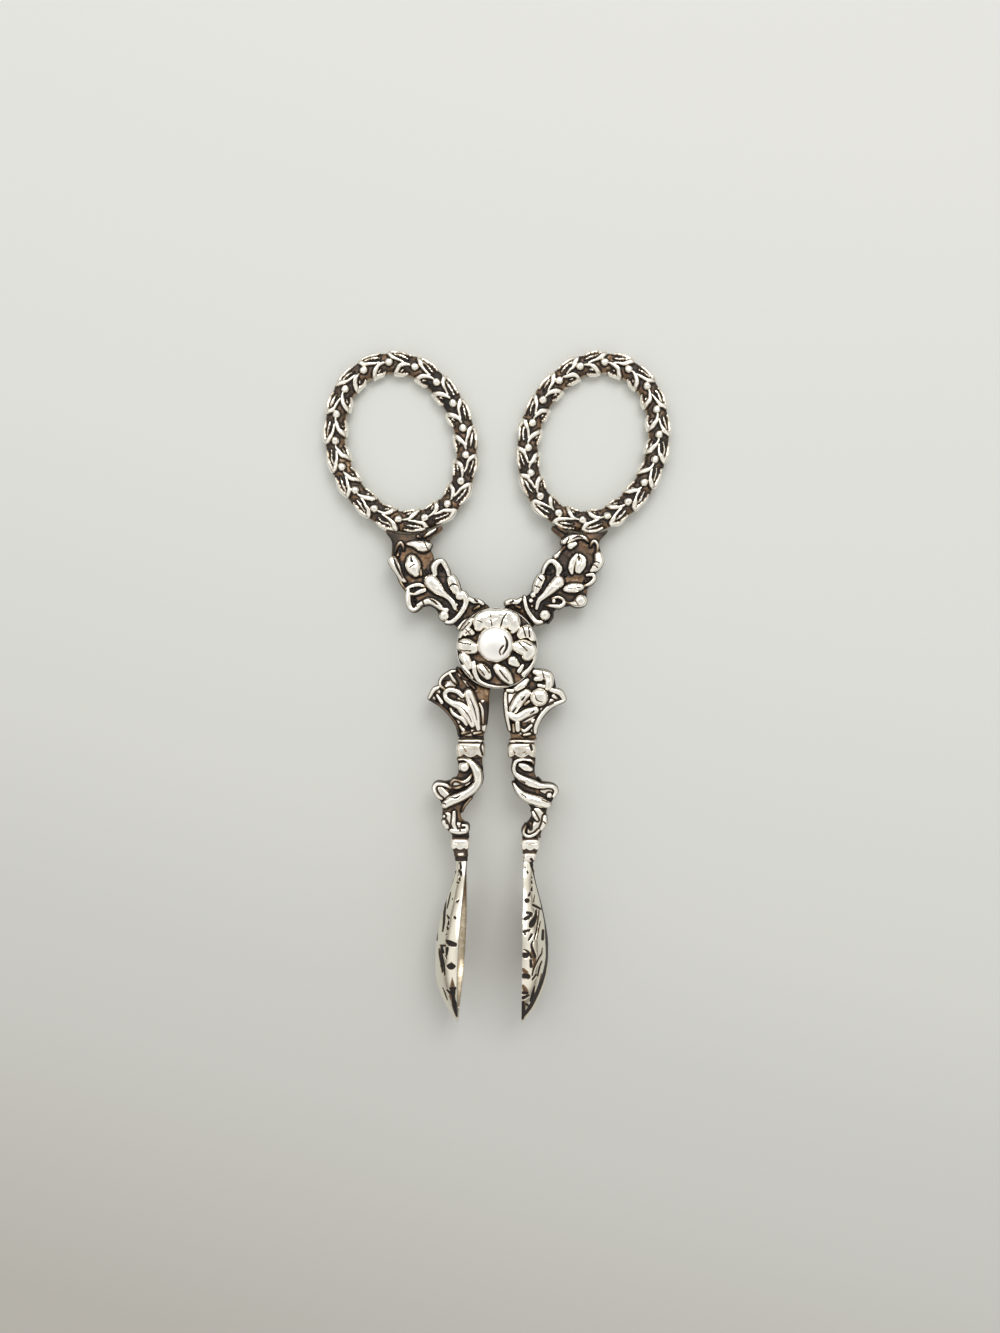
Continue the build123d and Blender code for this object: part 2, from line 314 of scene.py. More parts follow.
def smooth_curve(rows, closed=False, steps=curve_steps):
    """A smooth curve through rows of numbers, the first two of which are a place."""
    rows = np.asarray(rows, float)
    if len(rows) == 1:
        return np.vstack([rows, rows])
    if closed:
        ends = np.vstack([rows[-1:], rows, rows[:2]])
    else:
        ends = np.vstack([2 * rows[:1] - rows[1:2], rows, 2 * rows[-1:] - rows[-2:-1]])
    t = np.linspace(0, 1, steps, endpoint=False)[:, None]
    pieces = []
    for a, b, c, d in zip(ends, ends[1:], ends[2:], ends[3:]):
        pieces.append(0.5 * (2 * b + (c - a) * t + (2 * a - 5 * b + 4 * c - d) * t**2
                             + (3 * b - a - 3 * c + d) * t**3))
    if not closed:
        pieces.append(rows[-1:])
    return np.vstack(pieces)


def to_segments(points, start, end):
    """For every point and segment: the distance, and how far along the segment it is met."""
    run = end - start
    length = np.maximum((run**2).sum(1), shortest_run)
    away = points[:, None, :] - start
    t = np.clip((away * run).sum(2) / length, 0, 1)
    return np.hypot(*np.moveaxis(away - t[..., None] * run, -1, 0)), t


def outline_distance(points, outline):
    """The distance of every point from a closed outline, negative inside."""
    start, end = outline, np.roll(outline, -1, axis=0)
    away = np.empty(len(points))
    for low in range(0, len(points), points_at_once):
        high = low + points_at_once
        away[low:high] = to_segments(points[low:high], start, end)[0].min(1)
    inside = np.zeros(len(points), bool)
    for (x1, y1), (x2, y2) in zip(start, end):
        if y1 == y2:
            continue
        crossing = (points[:, 1] > y1) != (points[:, 1] > y2)
        inside ^= crossing & (points[:, 0] < x1 + (points[:, 1] - y1) * (x2 - x1) / (y2 - y1))
    return np.where(inside, -away, away)


def stroke_field(points, stroke, reach=0.0):
    """How deep inside a stroke each point is: its share of the half width, half width and distance."""
    line = smooth_curve(stroke)
    widest = line[:, 2].max() + reach
    near = np.all((points > line[:, :2].min(0) - widest) & (points < line[:, :2].max(0) + widest), axis=1)
    share = np.full(len(points), far_away)
    width = np.ones(len(points))
    beyond = np.full(len(points), far_away)
    if near.any():
        away, t = to_segments(points[near], line[:-1, :2], line[1:, :2])
        wide = line[:-1, 2] + t * (line[1:, 2] - line[:-1, 2])
        best = (away - wide).argmin(1)[:, None]
        wide = np.take_along_axis(wide, best, 1)[:, 0]
        away = np.take_along_axis(away, best, 1)[:, 0]
        share[near], width[near], beyond[near] = away / wide, wide, away - wide
    return share, width, beyond


def ridge_height(points, stroke, rise=relief_rise, scale=relief_width):
    """A rounded ridge, the higher the wider it is."""
    share, width, _ = stroke_field(points, stroke)
    bulge = np.sqrt(np.clip(1 - share**ridge_power, 0, 1))
    return rise * (1 - np.exp(-width / scale)) * bulge


def carve(points, strokes, rise=relief_rise, scale=relief_width, bare=foot_bare):
    """The relief of many ridges, and the dark line at the feet of the high ones, which is tarnish and painted
    shade.
    """
    raised, foot = np.zeros(len(points)), np.zeros(len(points))
    for stroke in strokes:
        share, width, away = stroke_field(points, stroke, reach=foot_width)
        bulge = np.sqrt(np.clip(1 - share**ridge_power, 0, 1))
        raised = np.maximum(raised, rise * (1 - np.exp(-width / scale)) * bulge)
        foot = np.maximum(foot, 1 - smooth_step(away, foot_start * foot_width, foot_width))
    return raised, feet_tarnish_and_shade * foot * (1 - smooth_step(raised / rise, *bare))


def blurred(field, reach):
    """A grid of heights, softened over a distance in cells."""
    span = max(1, int(round(reach)))
    for axis in (0, 1, 0, 1):
        pad = [(0, 0), (0, 0)]
        pad[axis] = (span + 1, span)
        total = np.cumsum(np.pad(field, pad, mode="edge"), axis=axis)
        high = np.take(total, range(2 * span + 1, total.shape[axis]), axis=axis)
        low = np.take(total, range(0, total.shape[axis] - 2 * span - 1), axis=axis)
        field = (high - low) / (2 * span + 1)
    return field


def smooth_step(value, low, high):
    """0 up to the low value, 1 from the high one, and a smooth rise between them."""
    t = np.clip((value - low) / (high - low), 0, 1)
    return t * t * (3 - 2 * t)


def patina_of(height, raised, patches, size):
    """The dark finish left by polishing: brown on the ground, and black at the feet of the ridges, which is
    tarnish and painted shade.
    """
    hollow = blurred(height, foot_reach / size) - height
    low = (ground_patina + ground_spread * patches) * (1 - smooth_step(raised, *ground_raised))
    middle = body_patina * (1 - smooth_step(raised, *body_raised))
    return np.clip(np.maximum(low, middle) + hollow_tarnish_and_shade_slope * np.clip(hollow - dark_start, 0, 1), 0, 1)


def cloud(points, size, seed):
    """Smooth random values from 0 to 1, from a seeded grid of heights this far apart."""
    random = np.random.default_rng(seed)
    table = random.random((cloud_cells, cloud_cells))
    place_in = points / size + cloud_shift
    base = np.floor(place_in).astype(int)
    x, y = np.moveaxis(smooth_step(place_in - base, 0, 1), -1, 0)
    i, j = np.moveaxis(base % (cloud_cells - 1), -1, 0)
    return (table[i, j] * (1 - x) * (1 - y) + table[i + 1, j] * x * (1 - y)
            + table[i, j + 1] * (1 - x) * y + table[i + 1, j + 1] * x * y)


def flecks(points, seed):
    """Small chased bumps scattered over the ground."""
    return fleck_rise * smooth_step(cloud(points, fleck_size, seed), *fleck_share)


def uneven(points, raised, seed):
    """The hand-worked waviness of the raised parts."""
    waves = cloud(points, uneven_size, seed) + uneven_fine * cloud(points, uneven_size / 2, seed + 1)
    return uneven_rise * (waves - cloud_middle * (1 + uneven_fine)) * smooth_step(raised, *uneven_raised)


def make_piece(name, points, faces, patina_and_shade, material):
    """A mesh in the frame, with its patina and painted shade kept as an attribute."""
    mesh = bpy.data.meshes.new(name)
    mesh.from_pydata(place(points).tolist(), [], [tuple(face) for face in faces])
    mesh.validate()
    layer = mesh.attributes.new("patina_and_shade", "FLOAT", "POINT")
    layer.data.foreach_set("value", np.asarray(patina_and_shade, dtype=np.float32))
    mesh.polygons.foreach_set("use_smooth", np.full(len(mesh.polygons), True))
    mesh.set_sharp_from_angle(angle=math.radians(sharp_angle))
    mesh.materials.append(material)
    piece = bpy.data.objects.new(name, mesh)
    bpy.context.scene.collection.objects.link(piece)
    return piece


def stand_for(piece, body, slot, *nodes):
    """A piece that moves with a body and replaces nodes of the solids; its slot is not used."""
    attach(piece, body)
    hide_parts(*nodes)


def tube_faces(rows, around, side):
    """The faces of a tube of points closed at both ends, turned over on the left side."""
    number = np.arange(rows * around).reshape(rows, around)
    turn = np.roll(number, -1, axis=1)
    faces = np.stack([number[:-1], turn[:-1], turn[1:], number[1:]], axis=-1).reshape(-1, 4).tolist()
    faces += [number[0][::-1].tolist(), number[-1].tolist()]
    return faces if side > 0 else [face[::-1] for face in faces]


def loops_of(edges):
    """Directed edges joined into closed loops of vertex numbers."""
    after = {}
    for a, b in edges:
        after.setdefault(a, []).append(b)
    loops = []
    while after:
        start = next(iter(after))
        loop, here = [], start
        while here in after:
            loop.append(here)
            there = after[here].pop()
            if not after[here]:
                del after[here]
            here = there
        loops.append(loop)
    return loops


def casting(name, outline, carving, cuts, back):
    """A flat-backed casting: a carved front inside its outline, walls and a back.

    cuts are functions of the points that give distances, negative where the casting may be. back
    gives the back's points for those on the outline.
    """
    strokes = [from_photo(stroke) * (1, 1, carving.get("breadth", 1)) for stroke in carving["ridges"]]
    bodies = [from_photo(stroke) for stroke in carving.get("bodies", [])]
    grooves = [from_photo(stroke) for stroke in carving["grooves"]]
    edge = from_photo([(x, y, 0) for x, y in outline])[:, :2]
    edge = smooth_curve(edge, closed=True, steps=outline_steps)
    low = np.minimum(edge.min(0), np.min([s[:, :2].min(0) for s in strokes], axis=0)) - drawing_margin
    high = np.maximum(edge.max(0), np.max([s[:, :2].max(0) for s in strokes], axis=0)) + drawing_margin
    columns = np.arange(low[0], high[0], cell)
    rows = np.arange(low[1], high[1], cell)
    x, y = np.meshgrid(columns, rows)
    shape = x.shape
    points = np.stack([x.ravel(), y.ravel()], axis=1)

    beyond = outline_distance(points, edge)
    for stroke in strokes:
        beyond = np.minimum(beyond, stroke_field(points, stroke, reach=drawing_margin)[2])
    for cut in cuts:
        beyond = np.maximum(beyond, cut(points))
    beyond = beyond.reshape(shape)
    slope_y, slope_x = np.gradient(beyond, cell)
    steep = np.maximum(np.hypot(slope_x, slope_y), slope_floor)
    inner = beyond < -inner_share * cell
    moved = np.where(inner, 0, beyond)
    moved = np.clip(moved, -furthest_move * cell, furthest_move * cell)
    points[:, 0] -= (moved * slope_x / steep**2).ravel()
    points[:, 1] -= (moved * slope_y / steep**2).ravel()

    raised, foot = carve(points, strokes)
    raised = np.maximum(raised, flecks(points, len(strokes)))
    for stroke in bodies:
        raised = np.maximum(raised, ridge_height(points, stroke, body_rise))
    carved = np.zeros(len(points))
    for stroke in grooves:
        carved = np.maximum(carved, ridge_height(points, stroke, groove_depth, groove_width))
    foot = foot.reshape(shape)
    waves = uneven(points, raised, len(strokes)).reshape(shape)
    patches = cloud(points, patch_size, len(strokes)).reshape(shape)
    raised, carved = raised.reshape(shape), carved.reshape(shape)
    swell = blurred(raised, swell_reach / cell)
    height = raised + waves - carved
    inward = np.clip(-beyond, 0, edge_round)
    drop = edge_round - np.sqrt(edge_round**2 - (edge_round - inward) ** 2)
    top = carving.get("ground", ground) + swell_rise * swell / relief_rise + height - drop
    # Tarnish, with painted shade in the hollows and at the feet of the ridges
    patina_and_shade = patina_of(height, raised, patches, cell) + foot + groove_dark * carved / groove_depth
    patina_and_shade = np.clip(patina_and_shade, 0, 1)

    keep = inner[:-1, :-1] | inner[1:, :-1] | inner[:-1, 1:] | inner[1:, 1:]
    number = np.arange(points.shape[0]).reshape(shape)
    a, b = number[:-1, :-1], number[:-1, 1:]
    c, d = number[1:, 1:], number[1:, :-1]
    faces = np.stack([a[keep], b[keep], c[keep], d[keep]], axis=1)
    around = np.pad(keep, 1)
    sides = [
        (a, b, around[:-2, 1:-1]), (b, c, around[1:-1, 2:]),
        (c, d, around[2:, 1:-1]), (d, a, around[1:-1, :-2]),
    ]
    rim = np.vstack([np.stack([p[keep & ~n], q[keep & ~n]], axis=1) for p, q, n in sides])

    used = np.unique(faces)
    new = np.full(points.shape[0], -1)
    new[used] = np.arange(len(used))
    front = np.column_stack([points, top.ravel()])[used]
    rim_used = np.unique(rim)
    low_new = np.full(points.shape[0], -1)
    low_new[rim_used] = len(used) + np.arange(len(rim_used))
    behind = back(points[rim_used])
    vertices = np.vstack([front, behind])
    walls = np.stack([new[rim[:, 0]], low_new[rim[:, 0]], low_new[rim[:, 1]], new[rim[:, 1]]], axis=1)
    loops = [[low_new[v] for v in loop] for loop in loops_of(rim.tolist())]
    flat = tessellate_polygon([[Vector(vertices[v]) for v in loop] for loop in loops])
    order = [v for loop in loops for v in loop]
    backs = [tuple(order[v] for v in triangle) for triangle in flat]
    normal_z = sum(cross_z(vertices, triangle) for triangle in backs)
    if normal_z > 0:
        backs = [triangle[::-1] for triangle in backs]
    shade = np.concatenate([patina_and_shade.ravel()[used], np.full(len(rim_used), carving.get("wall", wall_patina))])
    return make_piece(name, vertices, [*new[faces].tolist(), *walls.tolist(), *backs], shade, cast_silver)


def cross_z(vertices, triangle):
    """Twice the area of a triangle seen from the front, negative if it faces back."""
    (ax, ay, _), (bx, by, _), (cx, cy, _) = (vertices[v] for v in triangle)
    return (bx - ax) * (cy - ay) - (by - ay) * (cx - ax)


def outside_circle(radius):
    """A casting's cut that keeps what is outside a circle round the pivot."""
    return lambda points: radius - np.hypot(points[:, 0], points[:, 1])


def inside_circle(radius):
    """A casting's cut that keeps what is inside a circle round the pivot."""
    return lambda points: np.hypot(points[:, 0], points[:, 1]) - radius


def between_rows(low, high):
    """A casting's cut that keeps what is between two heights of the drawing."""
    return lambda points: np.maximum(points[:, 1] - high, low - points[:, 1])


def arm_hub_cuts(front):
    """The radius at which a casting meets the hub, on its face and on its back."""
    fit, clear = hub_radius + hub_gap, hub_radius + lap_clearance
    return (fit, clear) if front else (clear, fit)


def arm_back_of(face_radius, back_radius):
    """Points on the outline taken down to the flat back, with the hub's clearance."""
    def back(points):
        radius = np.hypot(points[:, 0], points[:, 1])
        near = radius < face_radius + back_reach * cell
        scale = np.where(near, back_radius / radius, 1.0)
        return np.column_stack([points * scale[:, None], np.full(len(points), -arm_back)])
    return back


# Materials


def add(tree, kind, **settings):
    """A new node with its settings."""
    node = tree.nodes.new(kind)
    for name, value in settings.items():
        setattr(node, name, value)
    return node


def silver(name, polish, tint):
    """Polished silver, worn bright on the high places and dark in the hollows with tarnish and painted shade.
    """
    material = bpy.data.materials.new(name)
    material.use_nodes = True
    tree = material.node_tree
    shader = tree.nodes["Principled BSDF"]
    where = add(tree, "ShaderNodeTexCoord")
    patina_and_shade_node = add(tree, "ShaderNodeAttribute", attribute_name="patina_and_shade")

    patches = add(tree, "ShaderNodeTexNoise")
    patches.inputs["Scale"].default_value = tarnish_scale
    patches.inputs["Detail"].default_value = tarnish_detail
    tree.links.new(where.outputs["Object"], patches.inputs["Vector"])
    spread = add(tree, "ShaderNodeMath", operation="MULTIPLY_ADD")
    spread.inputs[1].default_value = tarnish_spread
    tree.links.new(patches.outputs["Fac"], spread.inputs[0])
    tree.links.new(patina_and_shade_node.outputs["Fac"], spread.inputs[2])
    shade = add(tree, "ShaderNodeMath", operation="SUBTRACT")
    shade.inputs[1].default_value = tarnish_spread / 2
    tree.links.new(spread.outputs[0], shade.inputs[0])

    colour = add(tree, "ShaderNodeValToRGB")
    fill_ramp(colour, [(tint_stop, tint), *tarnish_and_shade_stops])
    tree.links.new(shade.outputs[0], colour.inputs["Fac"])
    tree.links.new(colour.outputs["Color"], shader.inputs["Base Color"])

    metal = add(tree, "ShaderNodeMapRange")
    metal.inputs["From Min"].default_value, metal.inputs["From Max"].default_value = metal_range
    metal.inputs["To Min"].default_value, metal.inputs["To Max"].default_value = metal_share
    tree.links.new(shade.outputs[0], metal.inputs["Value"])
    tree.links.new(metal.outputs[0], shader.inputs["Metallic"])

    hairs = add(tree, "ShaderNodeTexNoise")
    hairs.inputs["Scale"].default_value = scratch_scale
    hairs.inputs["Detail"].default_value = scratch_detail
    hairs.inputs["Roughness"].default_value = scratch_roughness
    tree.links.new(where.outputs["Object"], hairs.inputs["Vector"])
    finish = add(tree, "ShaderNodeMath", operation="MULTIPLY_ADD")
    finish.inputs[1].default_value = scratch_spread
    finish.inputs[2].default_value = polish - scratch_spread / 2
    tree.links.new(hairs.outputs["Fac"], finish.inputs[0])
    dull = add(tree, "ShaderNodeMath", operation="MULTIPLY_ADD")
    dull.inputs[1].default_value = tarnish_dull
    tree.links.new(shade.outputs[0], dull.inputs[0])
    tree.links.new(finish.outputs[0], dull.inputs[2])
    tree.links.new(dull.outputs[0], shader.inputs["Roughness"])

    bump = add(tree, "ShaderNodeBump")
    bump.inputs["Strength"].default_value = scratch_bump
    bump.inputs["Distance"].default_value = scratch_depth * metre
    tree.links.new(hairs.outputs["Fac"], bump.inputs["Height"])
    tree.links.new(bump.outputs["Normal"], shader.inputs["Normal"])
    return material


def fill_ramp(node, stops):
    """Sets a colour ramp's stops."""
    ramp = node.color_ramp
    while len(ramp.elements) > 1:
        ramp.elements.remove(ramp.elements[-1])
    ramp.elements[0].position, ramp.elements[0].color = stops[0]
    for position, colour in stops[1:]:
        ramp.elements.new(position).color = colour


cast_silver = silver("cast_silver", cast_polish, cast_tint)
bowl_silver = silver("bowl_silver", bowl_polish, bowl_tint)
rivet_silver = silver("rivet_silver", rivet_polish, rivet_tint)


# Leaf panels, between the rings and the hub

left_panel_outline = [
    (386, 528), (391, 541), (391, 556), (394, 568), (400, 579), (404.5, 589), (408, 598), (408.5, 606),
    (413, 610), (421, 607), (429, 605.5), (436, 610), (440, 618), (447, 623), (455, 625.5), (466, 636),
    (486, 622), (490, 612), (489, 606), (483, 602), (473, 598), (465, 596), (462, 590), (459, 583),
    (452, 577.5), (449.5, 570.5), (443, 563.5), (435, 560.5), (432.5, 554), (429, 545), (431, 537),
    (442, 526), (415, 518),
]
left_panel = {
    "ridges": [
        [(406, 543.5, 1.4), (414, 544, 3.2), (423, 546.5, 5.2), (429, 544.5, 2.6)],
        [(433.3, 524.2, 1.8), (434.8, 528, 1.8), (429.5, 532.5, 1.9), (424, 536.7, 1.4)],
        [(414.3, 529.3, 1.2), (421.6, 529, 1.4)],
        [(417.6, 536, 1.6), (420.6, 537.2, 1.2)],
        [(394.8, 551.5, 1.2), (397, 545.5, 1.5), (400.5, 542.3, 1.7), (403, 546, 1.5), (403.2, 549.5, 1.2)],
        [(398.5, 551, 1.2), (397.5, 555, 1.6)],
        [(392.5, 560.5, 4.6), (395.5, 566, 4.2), (399, 573.5, 3), (402, 579, 2.6), (405.5, 581.5, 1.5)],
        [(397.5, 576, 1.3), (401, 583, 1.6), (406, 590.5, 1.3)],
        [(411.5, 560, 5.5), (413, 566, 7.2), (415.5, 573, 4)],
        [(420.5, 570, 1.6), (421, 575, 1.5)],
        [(425.5, 570.5, 1), (427, 573, 1)],
        [(435, 574, 2.6), (434, 567.3, 3.4), (437, 562, 3.2), (441.6, 561, 2.8), (445.4, 566, 2.4),
         (448, 572, 2.2), (449, 577, 1.6)],
        [(440.5, 567.5, 1), (441.5, 570, 0.9)],
        [(430.5, 581, 6.4), (436, 587, 6), (441.6, 592.5, 3.8), (448.8, 598, 2.5), (453.3, 603.5, 2.7),
         (455, 608.5, 2)],
        [(451.5, 579, 4.5), (453.5, 584, 5.2), (456, 590, 4.4)],
        [(459.8, 595.8, 4.3)],
        [(460, 593, 2.4), (463.4, 593.6, 3), (466, 599, 3.1), (465.2, 605, 2.9), (461.7, 611.5, 2.7),
         (456.7, 617.7, 2.5), (451, 622, 2.3), (446, 622, 2)],
        [(443.8, 615.5, 4.8)],
        [(456.7, 604.7, 1.7)],
        [(457, 610.5, 1.5)],
        [(446.6, 609.8, 2.5), (443, 609, 1.8)],
        [(417, 606, 2.2), (423, 602.5, 2.6), (430, 600.8, 3.2), (437, 604, 3.2), (441, 608, 2.4)],
        [(405.5, 589, 1.6), (412, 585.6, 2), (419, 584.6, 2), (425, 587, 1.4)],
        [(407.8, 590, 2.2), (407.6, 596, 2.8), (408.3, 603, 2.8), (411, 608.6, 2.4), (415, 609.3, 2.2),
         (419, 606.5, 2)],
        [(409, 593.4, 1.8), (414, 594, 1.7), (418.5, 592, 2.4), (424.3, 590, 2.2)],
        [(414.5, 600, 1.4)],
        [(469.5, 598.5, 2.2), (474, 601, 2.6), (478.5, 601, 2.3), (483, 603.5, 2)],
        [(469.5, 618, 1.2), (464.5, 622, 2.2), (459.5, 627.5, 2.6)],
        [(474, 609, 1.4), (479, 606, 1.6)],
    ],
    "grooves": [
        [(411, 557.5, 0.7), (412, 561.5, 1)],
        [(409.8, 567.5, 0.4), (414.5, 564.5, 0.5)],
        [(393.5, 557, 0.5), (395.5, 563.5, 0.9), (399.5, 572.5, 0.9), (402.5, 578, 0.5)],
        [(449.5, 586.5, 0.5), (453, 584, 0.7), (457.5, 585.5, 0.5)],
        [(422, 600, 0.6), (424, 605, 0.7)],
        [(430, 599.5, 0.6), (434, 601.5, 0.9), (437.5, 604.5, 0.6)],
        [(414, 598, 0.8), (416, 606, 0.6)],
        [(474, 599, 0.6), (477, 601.5, 0.9)],
        [(424, 541.5, 0.5), (428, 549.5, 0.5)],
    ],
}
right_panel_outline = [
    (608, 528), (600, 541), (602, 553), (602.5, 560), (598, 570), (595, 577), (594, 582.5), (588.5, 588),
    (587, 597), (584.5, 604.5), (575, 605), (565, 606.5), (555.5, 610), (553, 617), (549.5, 621.5),
    (543, 624), (536, 623.5), (527, 634), (507, 622), (505, 612), (508, 603), (518, 598.5), (524, 597.5),
    (531, 591.5), (533.5, 585), (539, 577.5), (544, 573), (549.5, 562.5), (555, 558.5), (561.5, 547),
    (562, 538), (552, 526), (580, 518),
]
right_panel = {
    "ridges": [
        [(555.5, 525, 1.2), (560, 527.6, 1.5), (566.5, 532.3, 1.3)],
        [(564, 541.5, 3), (570, 538.5, 3.3), (577, 536.8, 2.8), (584, 537.2, 2), (588.5, 541.2, 1.4)],
        [(570.5, 546, 3.4), (575.5, 543.5, 2.2)],
        [(565, 546.5, 1.4), (560, 551.5, 1.6), (556, 556, 2.6)],
        [(590.6, 546, 1.3), (592, 542.5, 1.6), (594.8, 540.8, 1.7), (598, 545, 1.7), (597.3, 551.4, 1.4)],
        [(598.5, 555.5, 4), (599.3, 561, 4.6), (596, 567, 3.9), (591.3, 570.6, 1.8)],
        [(577, 554.8, 2), (572.8, 561, 3.2), (571.2, 568, 3), (572, 573, 1.8)],
        [(580, 554.8, 1.8), (583.8, 559, 2.6), (583.3, 566, 2.6), (579.5, 571.8, 2)],
        [(578.6, 560, 2.6), (578.4, 565, 3.2), (577.5, 570.5, 2.6)],
        [(564.5, 569.5, 0.9)],
        [(565.5, 575, 1.2)],
        [(542.3, 575, 1.6), (544.5, 568, 2.2), (548, 562.3, 2.4), (552.4, 560.6, 2.6), (556.7, 564, 2.9),
         (559.3, 569.2, 3.4), (557.4, 574.8, 1.8)],
        [(549, 566.5, 1), (550, 570, 0.9)],
        [(547, 572.6, 1), (550.5, 573.8, 0.8)],
        [(558.4, 581.4, 5.8), (552.5, 587.5, 5), (545.5, 594.5, 3.4), (539, 600.6, 2.4), (536.6, 608.3, 1.8)],
        [(541.3, 577.3, 4), (539, 582, 4.4), (537, 587, 4), (535.6, 591, 3)],
        [(533, 595, 2.8)],
        [(531, 600.5, 2.4)],
        [(532, 606, 1.6)],
        [(524.5, 596.5, 1.9), (525, 602, 2.1), (527.2, 609.8, 2.3), (532, 617, 2.5), (536.6, 621.8, 2.6),
         (541.6, 622, 2)],
        [(545, 614.8, 5)],
        [(552.6, 611, 1), (552.4, 617, 1.2), (548.5, 622.3, 1.2)],
        [(545.2, 605.3, 1.2), (552.4, 605.8, 1.9), (559.6, 606.2, 2.2), (564, 603.3, 2), (563, 599.2, 1.7),
         (558, 597, 1.7), (552.6, 598.4, 1.6)],
        [(553.8, 601, 2.2)],
        [(565, 602, 1.4), (571, 603.3, 1.7), (576, 603.3, 3.4), (581, 600.6, 5.8)],
        [(563, 589.8, 1.1), (569, 588.4, 4.2), (575, 587.8, 4.8), (581, 586.5, 3.2)],
        [(583.4, 586.2, 1.4), (590.2, 583.4, 2), (594.5, 578.8, 2.1), (593, 574.6, 2), (587, 575, 1.7)],
        [(585.8, 581, 1.4)],
        [(507, 602.8, 2.8), (512, 601, 2.9), (517, 601.8, 2.6), (521, 598.6, 1.8)],
        [(516, 606, 1.4), (520, 607.5, 1.5)],
    ],
    "grooves": [
        [(566, 544, 0.5), (569, 538, 0.6)],
        [(573, 538.5, 0.5), (578, 536.5, 0.8), (583, 537.5, 0.5)],
        [(578.8, 556, 0.6), (579, 560, 0.9)],
        [(594, 561.5, 0.6), (599, 562.5, 0.5)],
        [(597.5, 567.5, 0.5), (594, 564.8, 0.5)],
        [(538.5, 577.5, 0.6), (541.5, 580.5, 0.8)],
        [(535.5, 586, 0.6), (539.5, 587.5, 0.6)],
        [(509.5, 603, 0.6), (513, 601, 0.9)],
        [(568, 588.7, 0.3), (580, 587.3, 0.4)],
        [(575, 600.5, 0.5), (579, 606, 0.3)],
    ],
}

# Shoulder leaves, below the hub

left_shoulder_outline = [
    (474, 660), (458, 669), (449, 672), (441, 678), (436, 688), (430.5, 696), (431, 702), (439, 706.5),
    (448.5, 714.5), (455, 726), (459, 737), (459.5, 744), (483, 744), (483.5, 737), (487, 726),
    (489, 709), (489.5, 692), (494, 676),
]
left_shoulder = {
    "bodies": [
        [(462, 701, 5), (469, 711, 8), (474, 723, 6)],
        [(446, 676, 3.5), (452, 683, 4.5), (446, 689, 3.5)],
        [(436, 692, 4), (434, 698, 3)],
        [(451, 709, 3), (458, 716, 4), (462, 727, 4)],
        [(482.5, 704, 4), (484.5, 715, 5), (483, 728, 4)],
        [(463, 733, 3), (481, 733, 3)],
        [(461, 674, 3), (470, 684, 3.5)],
    ],
    "ridges": [
        [(455, 670.7, 1.7), (449.7, 672, 1.8), (441.7, 678, 1.8), (439.7, 684.7, 1.8), (444.3, 689.3, 1.5)],
        [(449.7, 674, 1.7), (453.7, 680, 1.8), (457, 684, 1.3)],
        [(442.3, 679.3, 1.2), (448.3, 679.3, 1.1)],
        [(457, 668, 1.3), (461.7, 673.3, 1.5)],
        [(462.3, 677.3, 1.3), (467.7, 679.3, 1.4)],
        [(468.3, 682.7, 1.3), (474.3, 688.3, 1.4)],
        [(429, 698, 1.8), (433.7, 690, 2.4), (437.7, 687.3, 2)],
        [(437, 695.3, 1.7), (441.7, 702.7, 2)],
        [(429, 699.3, 1.2), (440.3, 706, 1.4), (449.7, 715.3, 1.4), (456.3, 725.3, 1.4), (459, 736, 1.2)],
        [(462.3, 696, 2.4), (457, 691.3, 2.6), (449, 690, 2.5), (445, 693.3, 2.4), (446.3, 698.7, 2.6),
         (451.7, 702.7, 3), (459.7, 706, 4.4), (465, 711.3, 5.2), (469, 717.3, 4.6), (472.3, 725.3, 2.6)],
        [(468.6, 693.3, 4.6), (472, 703, 4.8), (475.7, 714, 4), (478.3, 728.7, 2.4)],
        [(450.3, 708.7, 1.6), (453.7, 714, 2), (462.3, 719.3, 2.2), (466.3, 724.7, 1.8)],
        [(459.8, 726, 1.6), (463.5, 730.3, 2)],
        [(479.6, 703.5, 1.6), (482.3, 710, 1.8), (483, 723.3, 1.5)],
        [(484.5, 703.3, 1.1), (487, 713.3, 1.2), (486, 723.3, 1)],
        [(462, 733.5, 1.6), (469, 732, 1.4)],
        [(474, 733.5, 1.7), (481, 732.5, 1.5)],
    ],
    "grooves": [
        [(434, 694, 0.7), (436.5, 700, 0.7)],
        [(455.7, 710, 1)],
        [(459, 714.6, 1)],
        [(461.5, 707.5, 0.35), (468, 714.5, 0.45), (471.5, 722, 0.35)],
        [(470, 698, 0.35), (474, 708, 0.5), (477, 720, 0.35)],
        [(460.5, 723, 0.9), (464, 726.5, 0.9)],
    ],
}
right_shoulder_outline = [
    (520, 660), (536, 668.5), (552, 674.5), (556, 684), (557, 690), (564.5, 698.5), (557, 706), (549, 712),
    (541, 722), (536, 733), (535.5, 744), (511.5, 744), (511, 737), (507.5, 726), (505, 709),
    (504.5, 692), (500, 676),
]
